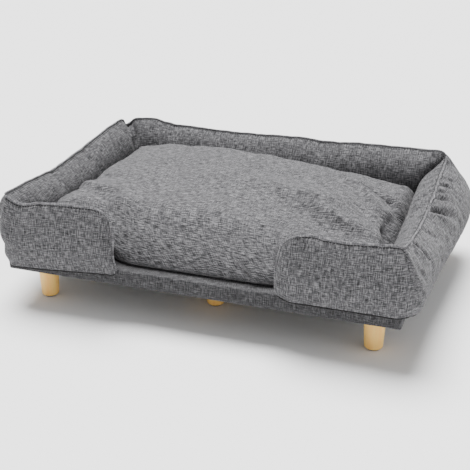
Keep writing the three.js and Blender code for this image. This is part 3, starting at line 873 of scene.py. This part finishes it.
# ---------- cloth ----------
def start_cloth(obj, pins, pressure, spare):
    """Adds a cloth simulation: air pressure inside, and a little spare cloth that must wrinkle."""
    group = obj.vertex_groups.new(name="pin")
    for weight in np.unique(pins):
        if weight > 0:
            group.add(np.flatnonzero(pins == weight).tolist(), float(weight), "REPLACE")
    modifier = obj.modifiers.new("cloth", "CLOTH")
    settings = modifier.settings
    settings.quality = 4
    settings.mass = 0.25
    settings.tension_stiffness = 18
    settings.compression_stiffness = 12
    settings.shear_stiffness = 4
    settings.bending_stiffness = 0.35
    settings.air_damping = 2.0
    settings.use_pressure = True
    settings.uniform_pressure_force = pressure
    settings.shrink_min = -spare
    settings.vertex_group_mass = "pin"
    settings.effector_weights.gravity = 0
    modifier.point_cache.frame_end = CLOTH_FRAMES


def run_cloth(jobs):
    """Runs all the cloths together.

    A job is (object, pins, pressure, share of spare cloth, longest move, share of the move kept).
    """
    before = [coords(job[0]) for job in jobs]
    for obj, pins, pressure, spare, _, _ in jobs:
        start_cloth(obj, pins, pressure, spare)
    for step in range(1, CLOTH_FRAMES + 1):
        bpy.context.scene.frame_set(step)
    graph = bpy.context.evaluated_depsgraph_get()
    after = [coords(job[0].evaluated_get(graph)) for job in jobs]
    for (obj, _, _, _, cap, share), old, new in zip(jobs, before, after):
        obj.modifiers.clear()
        obj.vertex_groups.clear()
        move = new - old
        length = np.linalg.norm(move, axis=1)
        limit = cap * np.tanh(length / cap) / np.maximum(length, 1e-6)
        set_coords(obj, old + move * (limit * share)[:, None])
    bpy.context.scene.frame_set(1)


def distance_to_line(points, line):
    """Distance of each point from a line, how far along it the nearest place is, and on which side."""
    line = np.asarray(line, float)
    best = np.full(len(points), np.inf)
    along = np.zeros(len(points))
    right = np.zeros(len(points), bool)
    lengths = np.linalg.norm(np.diff(line, axis=0), axis=1)
    total = lengths.sum()
    passed = 0.0
    for start, end, length in zip(line[:-1], line[1:], lengths):
        share = np.clip((points - start) @ (end - start) / length**2, 0, 1)
        gap = np.linalg.norm(points - start - share[:, None] * (end - start), axis=1)
        closer = gap < best
        best[closer] = gap[closer]
        along[closer] = (passed + share[closer] * length) / total
        ahead, offset = end - start, points[closer] - start
        right[closer] = ahead[0] * offset[:, 1] - ahead[1] * offset[:, 0] < 0
        passed += length
    return best, along, right


def fold_cloth(obj, folds):
    """Raises ridges and presses valleys into a cloth, along its normals, but not in its underside."""
    points, away = coords(obj), normals(obj)
    move = np.zeros(len(points))
    for line, height, width, right_share in folds:
        flat_line = len(line[0]) == 2
        gap, along, right = distance_to_line(points[:, :2] if flat_line else points, line)
        gap = gap / np.where(right, width * right_share, width)
        taper = np.sin(math.pi * (0.12 + 0.82 * along)) ** 0.7
        move += height * taper * np.exp(-(gap**2))
    move *= smooth(FLOOR - 22, FLOOR + 20, points[:, 2])
    set_coords(obj, points + away * move[:, None])


def flatten_at_zip(cushion):
    """The zip keeps the cushion's rear side straight along its line."""
    points = coords(cushion)
    low, high = box_mm("cushion_zip_chain")
    z = (low[2] + high[2]) / 2
    share = np.exp(-(((points[:, 2] - z) / 13) ** 4)) * smooth(225, 240, points[:, 1])
    share *= smooth(high[0] + 40, high[0] + 12, np.abs(points[:, 0]))
    points[:, 1] += (high[1] - 1.2 - points[:, 1]) * share
    set_coords(cushion, points)


# ---------- cutting the ring into walls ----------
# Folds of the walls, listed in the same way, and the pleats across the right wall's two sides.
WALL_FOLDS = [
    ([(455, 25, 220), (475, 50, 205), (495, 90, 180), (515, 130, 140)], -19, 11, 1),
    ([(455, -10, 220), (480, 15, 205), (495, 45, 180), (510, 85, 145)], 9, 12, 1),
    ([(455, -230, 245), (480, -220, 220), (495, -205, 195)], -17, 8, 1),
    ([(455, -260, 250), (480, -250, 225), (495, -235, 195)], 7, 12, 1),
    ([(455, -120, 230), (475, -100, 215), (495, -65, 185)], -6, 9, 1),
    ([(450, -325, 270), (465, -340, 245), (470, -345, 225)], -9, 6, 1),
    ([(485, -320, 240), (490, -310, 215), (495, -290, 190)], -6, 12, 1),
    ([(-460, -330, 260), (-470, -340, 240), (-470, -345, 220)], -6, 9, 1),
    ([(-485, -315, 215), (-480, -340, 215), (-455, -350, 215)], -5, 8, 1),
    ([(-470, -335, 135), (-460, -345, 130)], -5, 8, 1),
    ([(-450, 40, 265), (-425, 30, 260), (-400, 25, 225)], -5, 18, 1),
    ([(-450, -120, 260), (-425, -130, 250), (-400, -140, 220)], -5, 16, 1),
    ([(-450, 235, 280), (-425, 240, 270), (-405, 240, 235)], -4, 12, 1),
    ([(-445, 305, 260), (-430, 290, 260), (-415, 270, 240), (-410, 265, 200)], -13, 15, 1),
    ([(-300, 315, 270), (-295, 290, 260), (-290, 270, 235)], -4, 16, 1),
    ([(120, 315, 265), (120, 290, 255), (110, 270, 230)], -4, 18, 1),
    ([(470, -340, 130), (440, -350, 125), (400, -350, 125)], -5, 7, 1),
    ([(490, -310, 150), (470, -340, 140), (430, -350, 135)], 3, 9, 1),
]
for y, z, height in ((90, 230, -9), (125, 232, -9), (160, 235, -9), (200, 238, -6)):
    WALL_FOLDS.append(([(453, y, z), (473, y + 24, z - 14), (493, y + 60, z - 42)], height, 6, 1))
for y, z, height in ((60, 221, -7), (92, 225, 4), (128, 228, -8), (190, 238, -5)):
    WALL_FOLDS.append(([(442, y, z), (426, y - 10, z - 6), (408, y - 24, z - 26)], height, 8, 1))


def front_left_pull(points):
    """The left wall's lower front corner is pulled in under the wing."""
    x, y, z = points.T
    amount = 10 * smooth(-170, -350, y) * smooth(250, 190, z)
    amount += 9 * smooth(-290, -345, y) * np.exp(-(((z - 148) / 16) ** 2))
    amount *= smooth(-400, -455, x)
    return points + np.stack([amount, 0 * amount, 0 * amount], 1)


def closed_rims(edges):
    """The loops of edges that have a face on one side only, each in the order of a face that fills it."""
    follow = {b: a for a, b in edges if (b, a) not in edges}
    rims = []
    while follow:
        first = next(iter(follow))
        rim, here = [first], follow.pop(first)
        while here != first:
            rim.append(here)
            here = follow.pop(here)
        rims.append(rim)
    return rims


def cut_ring(ring):
    """Cuts the finished ring into five closed walls, one for each material index."""
    mesh = ring.data
    segment = read(mesh.polygons, "material_index", kind=int)
    vertex = read(mesh.loops, "vertex_index", kind=int)
    uv = read(mesh.uv_layers[0].data, "uv", 2)
    starts = np.r_[0, np.cumsum(read(mesh.polygons, "loop_total", kind=int))]
    points = coords(ring)
    for k, name in enumerate(WALL_NAMES):
        faces, loop_uv, edges = [], [], {}  # a dict keeps the edges in order
        for p in np.flatnonzero(segment == k):
            corners = vertex[starts[p]:starts[p + 1]].tolist()
            faces.append(corners)
            loop_uv += (uv[starts[p]:starts[p + 1]] / MM).tolist()
            for a, b in zip(corners, corners[1:] + corners[:1]):
                edges[a, b] = True
        caps = closed_rims(edges)
        used = sorted({v for f in faces for v in f})
        number = {v: n for n, v in enumerate(used)}
        for cap in caps:
            faces.append(cap)
            loop_uv += [(0.0, 0.0)] * len(cap)
        faces = [[number[v] for v in f] for f in faces]
        wall = make_mesh(name, points[used], faces, LINEN, loop_uv=loop_uv, slot="linen_weave")
        for n in range(len(caps)):
            wall.data.polygons[len(faces) - 1 - n].use_smooth = False
        rims = {tuple(sorted((number[a], number[b]))) for cap in caps for a, b in zip(cap, cap[1:] + cap[:1])}
        for edge in wall.data.edges:
            if tuple(sorted(edge.vertices)) in rims:
                edge.use_edge_sharp = True
        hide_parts(name + "_cover", name + "_fill")
    bpy.data.objects.remove(ring)


def stitches(name, line, away, radius=1.0, length=6.0, gap=1.3, material=THREAD_AND_SHADE, slot="linen_weave"):
    """A run of stitches or staples half sunk into the cloth along a line; away points out of the cloth."""
    along = length_along(line)
    sides = 6
    places = np.array([0.0, 0.2, 0.8, 1.0]) * length
    sizes = np.array([0.35, 1.0, 1.0, 0.35]) * radius
    points, faces = [], []
    for start in np.arange(0, along[-1] - length, length + gap):
        centre = np.stack([np.interp(start + places, along, line[:, k]) for k in range(3)], 1)
        up = np.array([np.interp(start + length / 2, along, away[:, k]) for k in range(3)])
        ahead = centre[-1] - centre[0]
        side = np.cross(ahead, up)
        side /= np.linalg.norm(side)
        up = np.cross(side, ahead)
        up /= np.linalg.norm(up)
        faces += ring_faces(len(sizes), sides, len(points))
        for place, size in zip(centre, sizes):
            ring = [math.cos(a) * side + (0.3 + math.sin(a)) * up for a in full_turn(sides)]
            points += [place + size * out for out in ring]
    obj = make_mesh(name, points, faces, material, np.zeros((len(points), 2)), slot=slot)
    recalculate_normals(obj)


def make_welts(ring, index):
    """Welts along the top seams and down the wings' ends, in lighter linen that is a painted highlight; dark
    stitches beside them, whose dark thread also paints the shade of the groove; and dark cords along the
    lower edges, which are painted shade.
    """
    points, away = coords(ring), normals(ring)
    edge = 0
    for k, name in enumerate(WALL_NAMES):
        count = len(stations_of(name)[0])
        rows = np.arange(edge, edge + count)
        edge += count - 1
        line = points[index[rows, 0]]
        lean = 2 * line - points[index[rows, 1]] - points[index[rows, -1]]
        if name.endswith("wing"):
            end, inward = (rows[0], rows[1]) if k == 0 else (rows[-1], rows[-2])
            down = points[index[end, 1:ROWS]]
            out = 2 * down - points[index[inward, 1:ROWS]] - points[index[inward, :INNER - 1:-1]]
            line = np.r_[down[::-1], line] if k == 0 else np.r_[line, down]
            lean = np.r_[out[::-1], lean] if k == 0 else np.r_[lean, out]
        lean /= np.maximum(np.linalg.norm(lean, axis=1), 1e-6)[:, None]
        raised = line + lean * WELT_RADIUS * 0.5
        # The welt's lighter linen is a painted highlight.
        tube(name + "_welt", raised, WELT_RADIUS, LINEN_WELT_LIT, (0.8, 1.25), up=lean, slot="linen_weave")
        # Dark stitches beside each welt: top-stitching whose dark thread also paints the shade of the groove
        # between welt and panel.
        row = 1 if name.endswith("wing") else -1
        beside = 0.42 * points[index[rows, 0]] + 0.58 * points[index[rows, row]]
        stitches(name + "_stitches", beside, away[index[rows, row]])
        # A dark cord along each wall's lower edge: painted shade for the dark line under the overhang of the
        # wall's lower edge.
        hem = points[index[rows, ROWS + 1]] - (0, 0, 0.6)
        tube(name + "_painted_shade_cord", hem, SHADE_CORD_RADIUS, THREAD_AND_SHADE, slot="linen_weave", sides=8)
        if name in ("left_wall", "back_wall"):
            outer_rows, inner_rows = 17, 15
            outer, inner = index[edge, 1:outer_rows + 1], index[edge, :-inner_rows - 1:-1]
            stitches(name + "_outer_corner", points[outer], away[outer], 0.9)
            stitches(name + "_inner_corner", points[inner], away[inner], 0.9)


def make_walls_and_cushion():
    """Walls and cushion swell together in one simulation, and get their folds after it."""
    ring, index, pins = make_ring()
    set_coords(ring, front_left_pull(coords(ring)))
    cushion, cushion_pins = make_cushion()
    kept = 0.4 + 0.6 * smooth(380, 420, coords(ring)[:, 0])
    run_cloth([
        (ring, pins, 1.6, 0.02, 9.0, kept),
        (cushion, cushion_pins, 1.2, 0.026, 8.0, 1.0),
    ])
    subdivided(ring)
    subdivided(cushion)
    fold_cloth(ring, WALL_FOLDS)
    fold_cloth(cushion, CUSHION_FOLDS)
    flatten_at_zip(cushion)
    make_welts(ring, index)
    cut_ring(ring)


# ---------- upholstered base ----------
def make_base_cover():
    """The base's cover: soft edges, a slight waviness, a flat top and a hem turned in below."""
    low_z, high_z = base_low[2], base_high[2]
    radius = 3.2  # of the edges
    upright = high_z - low_z - 2 * radius
    # The side as (distance outwards, height) pairs, from its lower edge to its upper edge.
    side = arc(-radius, low_z + radius, radius, -90, 0, 6)
    side += [(0.0, low_z + radius + upright * k / 5) for k in range(1, 5)]
    side += arc(-radius, high_z - radius, radius, 0, 90, 6)
    outline = rounded_rectangle(BASE_X - radius, BASE_Y - radius, 2, 9.0)
    middle_z = (low_z + high_z) / 2
    rings = [inset_ring(outline, 26, low_z), inset_ring(outline, 12, low_z)]
    for out, z in side:
        share = max(1 - abs(z - middle_z) / (middle_z - low_z), 0)
        ring = []
        for x, y, nx, ny, length in outline:
            wave = 0.7 * float(ripple(length, 31, 330))
            puff = radius + out + (0.8 + wave) * share**0.5 - 0.3
            ring.append((x + nx * puff, y + ny * puff, z + 0.4 * wave * (z < middle_z)))
        rings.append(ring)
    for inset in (8, 22, 50, 110, 200, 300):
        rings.append(inset_ring(outline, inset, high_z))
    sections = np.array(rings).transpose(1, 0, 2)
    count, rows = sections.shape[:2]
    index = np.arange(count * rows).reshape(count, rows)
    faces = grid_faces(np.r_[index, index[:1]])
    faces.append(index[:, -1].tolist())
    down = length_along(sections[count // 8])
    uv = [(place[4], -down[k]) for place in outline for k in range(rows)]
    # Its darker linen is painted shade, not a darker cloth.
    obj = make_mesh("base_upholstery", sections.reshape(-1, 3), faces, LINEN_BASE_SHADED, uv, slot="linen_weave")
    recalculate_normals(obj)
    solid = obj.modifiers.new("thickness", "SOLIDIFY")
    solid.thickness = 1.0 * MM
    solid.offset = -1
    apply_modifiers(obj)
    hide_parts("base_cover")


def inset_ring(outline, inset, z):
    """The outline drawn in towards the middle, at one height."""
    size_x = max(p[0] for p in outline)
    size_y = max(p[1] for p in outline)
    return [(p[0] * (1 - inset / size_x), p[1] * (1 - inset / size_y), z) for p in outline]


def rounded_rectangle(x, y, radius, step):
    """Points around a rectangle with round corners: x, y, outward normal and distance along."""
    places = []
    for sign_x, sign_y, start in ((1, -1, -90), (1, 1, 0), (-1, 1, 90), (-1, -1, 180)):
        for nx, ny in arc(0, 0, 1, start, start + 90, 6):
            places.append((sign_x * (x - radius) + radius * nx, sign_y * (y - radius) + radius * ny, nx, ny))
        turn = math.radians(start + 90)
        nx, ny = round(math.cos(turn)), round(math.sin(turn))
        length = 2 * ((x if ny else y) - radius)
        steps = int(length / step)
        from_x, from_y = places[-1][:2]
        for k in range(1, steps):
            places.append((from_x - ny * length * k / steps, from_y + nx * length * k / steps, nx, ny))
    distance = length_along(np.array(places)[:, :2])
    return [(*place, along) for place, along in zip(places, distance)]


# ---------- zips ----------
TOOTH_PITCH = 2.4
# Half of a zip tape's section, as (distance from the middle, height) pairs.
TAPE_SECTION = [(1, 0), (3, -0.2), (9, -0.9), (11, -3.5)]
TAPE_THICK = 0.7


def merged(parts):
    """Several (points, faces) pairs as one."""
    points, faces = [], []
    for part_points, part_faces in parts:
        first = len(points)
        points += [tuple(p) for p in part_points]
        faces += [[first + v for v in face] for face in part_faces]
    return points, faces


def prism(outline, levels):
    """A plate across Y: outline is [x, z] points, levels are (y, inset) pairs."""
    outline = np.asarray(outline, float)
    centre = (outline.max(0) + outline.min(0)) / 2
    size = (outline.max(0) - outline.min(0)) / 2
    points = []
    for y, inset in levels:
        points += [(x, y, z) for x, z in centre + (outline - centre) * (1 - inset / size)]
    return points, ring_faces(len(levels), len(outline))


def block(x0, x1, y0, y1, z0, z1):
    return prism([(x0, z0), (x1, z0), (x1, z1), (x0, z1)], [(y0, 0), (y1, 0)])


def rounded_plate(x0, x1, z0, z1, taper=0.0, count=32):
    """Outline of a plate with soft corners, narrower towards +X by the taper."""
    c, s = np.cos(full_turn(count)), np.sin(full_turn(count))
    x = (x0 + x1) / 2 + (x1 - x0) / 2 * np.sign(c) * np.abs(c) ** 0.6
    z = (z0 + z1) / 2 + (z1 - z0) / 2 * np.sign(s) * np.abs(s) ** 0.6 * (1 - taper * (1 + c) / 2)
    return np.stack([x, z], 1)


def make_zip(name, chain, body):
    """A closed zip along X: its tape half sunk in the cloth, and two rows of teeth that mesh."""
    low, high = box_mm(chain)
    face, z = high[1] - 0.5, (low[2] + high[2]) / 2
    section = [(-up, out) for up, out in TAPE_SECTION[::-1]] + TAPE_SECTION
    ring = [(face + out, z + up) for up, out in section]
    ring += [(face + out - TAPE_THICK, z + up) for up, out in section[::-1]]
    xs = np.arange(low[0] - 9, high[0] + 9, 8.0)
    points = [(x, y, height) for x in xs for y, height in ring]
    tape = make_mesh(name + "_tape", points, ring_faces(len(xs), len(ring)), TAPE, body=body, slot="zip_tape")
    recalculate_normals(tape)
    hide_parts(chain)
    parts = []
    for k, x in enumerate(np.arange(low[0] + 2, high[0] - 2, TOOTH_PITCH / 2)):
        side = 1 if k % 2 else -1
        shank = sorted((z + side * 2.4, z - side * 0.7))
        head = sorted((z + side * 0.2, z - side * 0.9))
        parts.append(block(x - 0.45, x + 0.45, face + 0.1, face + 1.0, *shank))
        parts.append(block(x - 0.6, x + 0.6, face + 0.2, face + 1.1, *head))
    teeth = make_mesh(name + "_teeth", *merged(parts), TEETH, body=body, slot="zip_tape")
    recalculate_normals(teeth)
    teeth.data.polygons.foreach_set("use_smooth", [False] * len(teeth.data.polygons))


def slider_plate(node, depth):
    """A slider's plate, narrower at one end, with its middle (x, z) and the height of its face."""
    low, high = box_mm(node)
    outline = rounded_plate(low[0], high[0], low[2], high[2], 0.3)
    y = low[1]
    plate = prism(outline, [(y, 0.4), (y + 0.3, 0), (y + depth - 0.4, 0), (y + depth, 0.5)])
    return plate, (low[0] + high[0]) / 2, (low[2] + high[2]) / 2, y + depth


def make_steel(name, parts, node):
    """A small steel piece that stands for a CAD node and moves with the body of the same name."""
    obj = make_mesh(name, *merged(parts), STEEL, body=node, slot="steel")
    recalculate_normals(obj)
    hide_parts(node)


def make_cushion_slider():
    """A plate with a low bridge on it."""
    plate, x, z, face = slider_plate("cushion_zip_slider", 1.4)
    bridge = prism(rounded_plate(x - 4, x + 4, z - 1.2, z + 1.2),
                   [(face - 0.1, 0), (face + 0.4, 0), (face + 0.6, 0.3)])
    make_steel("cushion_slider", [plate, bridge], "cushion_zip_slider")


def make_wall_slider():
    """A plate with two lugs and a pin, and the pull that swings on the pin."""
    plate, x, z, face = slider_plate("wall_zip_slider", 2.0)
    pull_low, pull_high = box_mm("wall_zip_pull")
    lug_top = box_mm("wall_zip_slider")[1][1]
    eye_radius, hole_radius, pin_radius = 1.5, 0.95, 0.7
    pin_y = pull_low[1] + eye_radius
    half = (pull_high[2] - pull_low[2]) / 2
    parts = [plate]
    for side in (-1, 1):
        lug = sorted((z + side * (half + 0.25), z + side * (half + 1.3)))
        outline = rounded_plate(x - 1.7, x + 1.7, *lug)
        parts.append(prism(outline, [(face - 0.3, 0), (lug_top - 0.3, 0), (lug_top, 0.2)]))
    reach = half + 0.6
    pin = [(0.01, -reach), (pin_radius, -reach), (pin_radius, reach), (0.01, reach)]
    parts.append(turned_band(x, pin_y, pin, z))
    make_steel("wall_slider", parts, "wall_zip_slider")

    eye = [(hole_radius, -half), (eye_radius, -half), (eye_radius, half), (hole_radius, half)]
    eye.append(eye[0])
    outer = rounded_plate(x + 1.2, pull_high[0], z - half, z + half)
    waist = 1 - 0.3 * np.exp(-(((outer[:, 0] - x - 8) / 5) ** 2))
    outer[:, 1] = z + (outer[:, 1] - z) * waist
    slot = rounded_plate(pull_high[0] - 12, pull_high[0] - 2.4, z - 1.1, z + 1.1)
    parts = [turned_band(x, pin_y, eye, z), holed_plate(outer, slot, pin_y - 0.6, pin_y + 0.6)]
    make_steel("wall_pull", parts, "wall_zip_pull")


def turned_band(x, y, profile, z, sides=20):
    """A surface turned about an upright axis; profile is (radius, height) pairs."""
    points = [(x + r * math.cos(a), y + r * math.sin(a), z + h) for r, h in profile for a in full_turn(sides)]
    return points, ring_faces(len(profile), sides, ends=False)


def holed_plate(outer, inner, y0, y1):
    """A plate across Y with a slot through it; both outlines have the same number of [x, z] points."""
    rings = [(outer, y0), (outer, y1), (inner, y1), (inner, y0)]
    points = [(x, y, z) for outline, y in rings for x, z in outline]
    index = np.arange(len(points)).reshape(len(rings), len(outer))
    index = np.r_[index, index[:1]]
    return points, grid_faces(np.c_[index, index[:, :1]])


# ---------- dust cover ----------
def make_dust_cover():
    """The black cloth under the base: stretched and stapled, it sags a little between its fixings."""
    low, high = box_mm("dust_cover")
    x, y = np.meshgrid(np.linspace(low[0], high[0], 100), np.linspace(low[1], high[1], 72), indexing="ij")
    sag = 1.6 * (1 - (x / high[0]) ** 6) * (1 - (y / high[1]) ** 6)
    for place in LEG_PLACES:
        leg_x, leg_y, _ = sum(box_mm("leg_" + place)) / 2
        sag *= 1 - np.exp(-(((x - leg_x) ** 2 + (y - leg_y) ** 2) / 55**2) ** 2)
    edge = np.minimum(high[0] - np.abs(x), high[1] - np.abs(y))
    pucker = 0.35 * np.sin((x + y) * 2 * math.pi / 60) * np.exp(-edge / 14)
    z = low[2] + 0.4 - sag + pucker
    points = np.stack([x, y, z], 2).reshape(-1, 3)
    faces = grid_faces(np.arange(x.size).reshape(x.shape))
    cover = make_mesh("dust_cloth", points, faces, NONWOVEN, slot="nonwoven")
    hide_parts("dust_cover")
    sx, sy = high[0] - 9, high[1] - 9  # the staples' distance from the middle
    z = low[2] + 0.1
    rim = np.array([(-sx, -sy, z), (sx, -sy, z), (sx, sy, z), (-sx, sy, z), (-sx, -sy, z)])
    line = np.array([a + (b - a) * k / 40 for a, b in zip(rim[:-1], rim[1:]) for k in range(40)])
    down = np.tile((0.0, 0.0, -1.0), (len(line), 1))
    stitches("staples", line, down, radius=0.5, length=10, gap=46, material=STEEL, slot="steel")


# ---------- legs ----------
def lathe(name, profile, material, centre, slot, sides=64):
    """A turned shape about an upright axis; profile is (radius, z) pairs from the bottom to the top."""
    points, index = [], []
    for radius, z in profile:
        first = len(points)
        if radius == 0:
            points.append((centre[0], centre[1], z))
            index.append([first] * (sides + 1))
            continue
        for angle in full_turn(sides):
            points.append((centre[0] + radius * math.cos(angle), centre[1] + radius * math.sin(angle), z))
        index.append([*range(first, first + sides), first])
    obj = make_mesh(name, points, grid_faces(np.array(index)), material, slot=slot)
    recalculate_normals(obj)
    outward(obj)
    return obj


def make_leg(place):
    """A tapered leg with a round lower edge and a small chamfer at the top."""
    low, high = box_mm("leg_" + place)
    top_r = (high[0] - low[0]) / 2
    foot_r = top_r * 0.875
    edge = 4.0
    profile = [(0, low[2]), (foot_r - edge - 2, low[2])]
    profile += arc(foot_r - edge, low[2] + edge, edge, -90, 0, 8)
    length = high[2] - low[2] - edge - 1.5
    for k in range(1, 12):
        t = k / 12
        swell = 0.5 * math.sin(math.pi * t)
        profile.append((foot_r + (top_r - foot_r) * t + swell, low[2] + edge + length * t))
    profile += [(top_r, high[2] - 1.2), (top_r - 0.4, high[2] - 0.4), (top_r - 1.2, high[2]), (0, high[2])]
    leg = lathe("turned_leg_" + place, profile, BEECH, (low + high) / 2, "beech")
    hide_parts("leg_" + place)


def make_glide(place):
    """The felt pad under a leg."""
    low, high = box_mm("felt_glide_" + place)
    r = (high[0] - low[0]) / 2
    profile = [(0, low[2]), (r - 0.6, low[2]), (r, low[2] + 0.6), (r, high[2] - 0.5), (r - 0.5, high[2]),
               (0, high[2])]
    pad = lathe("felt_pad_" + place, profile, FELT, (low + high) / 2, "felt")
    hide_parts("felt_glide_" + place)


# ---------- CAD nodes that stay ----------
def dress_cad_nodes():
    """Gives the CAD nodes that stay their materials."""
    by_material = [
        (PINE, ("front_rail", "rear_rail", "left_rail", "right_rail", "cross_rail", "centre_rail",
                "corner_block")),
        (PLYWOOD, ("deck_panel",)),
        (FOAM, ("deck_foam",)),
        (NONWOVEN, ("dust_cover",)),
        (STEEL, ("hanger_bolt", "tee_nut", "wall_zip_slider", "wall_zip_pull", "cushion_zip_slider")),
        (TAPE, ("wall_zip_chain", "cushion_zip_chain")),
    ]
    for node, obj in nodes.items():
        for material, starts in by_material:
            if node.startswith(starts):
                obj.data.materials.clear()
                obj.data.materials.append(material)


# ---------- stage ----------
def make_floor():
    """A wide pale floor."""
    reach = 14.0
    corners = [(-reach, -reach, 0), (reach, -reach, 0), (reach, reach, 0), (-reach, reach, 0)]
    mesh = bpy.data.meshes.new("floor")
    mesh.from_pydata(corners, [], [(0, 1, 2, 3)])
    floor = bpy.data.objects.new("floor", mesh)
    floor.location.z = -0.0005
    bpy.context.scene.collection.objects.link(floor)
    paint = Nodes("pale_floor")
    paint.constants(Base_Color=(0.92, 0.92, 0.92, 1), Roughness=0.9)
    mesh.materials.append(paint.material)


def make_lights():
    """An even white surround, a soft sun from above and a weak one from the right."""
    world = bpy.data.worlds.new("studio")
    world.use_nodes = True
    background = world.node_tree.nodes["Background"]
    background.inputs["Color"].default_value = (1, 1, 1, 1)
    background.inputs["Strength"].default_value = 0.5
    bpy.context.scene.world = world
    suns = [("overhead", 9.0, 40, (0.22, -0.30, -1)), ("right_fill", 0.9, 80, (-1, 0.35, -0.35))]
    for name, energy, angle, direction in suns:
        sun = bpy.data.lights.new(name, "SUN")
        sun.energy = energy
        sun.angle = math.radians(angle)
        light = bpy.data.objects.new(name, sun)
        light.rotation_mode = "QUATERNION"
        light.rotation_quaternion = Vector(direction).to_track_quat("-Z", "Y")
        bpy.context.scene.collection.objects.link(light)


make_walls_and_cushion()
make_base_cover()
make_zip("wall_zip", "wall_zip_chain", "bed")
make_zip("cushion_zip", "cushion_zip_chain", "cushion")
make_cushion_slider()
make_wall_slider()
make_dust_cover()
for leg_place in LEG_PLACES:
    make_leg(leg_place)
    make_glide(leg_place)
dress_cad_nodes()
make_floor()
make_lights()
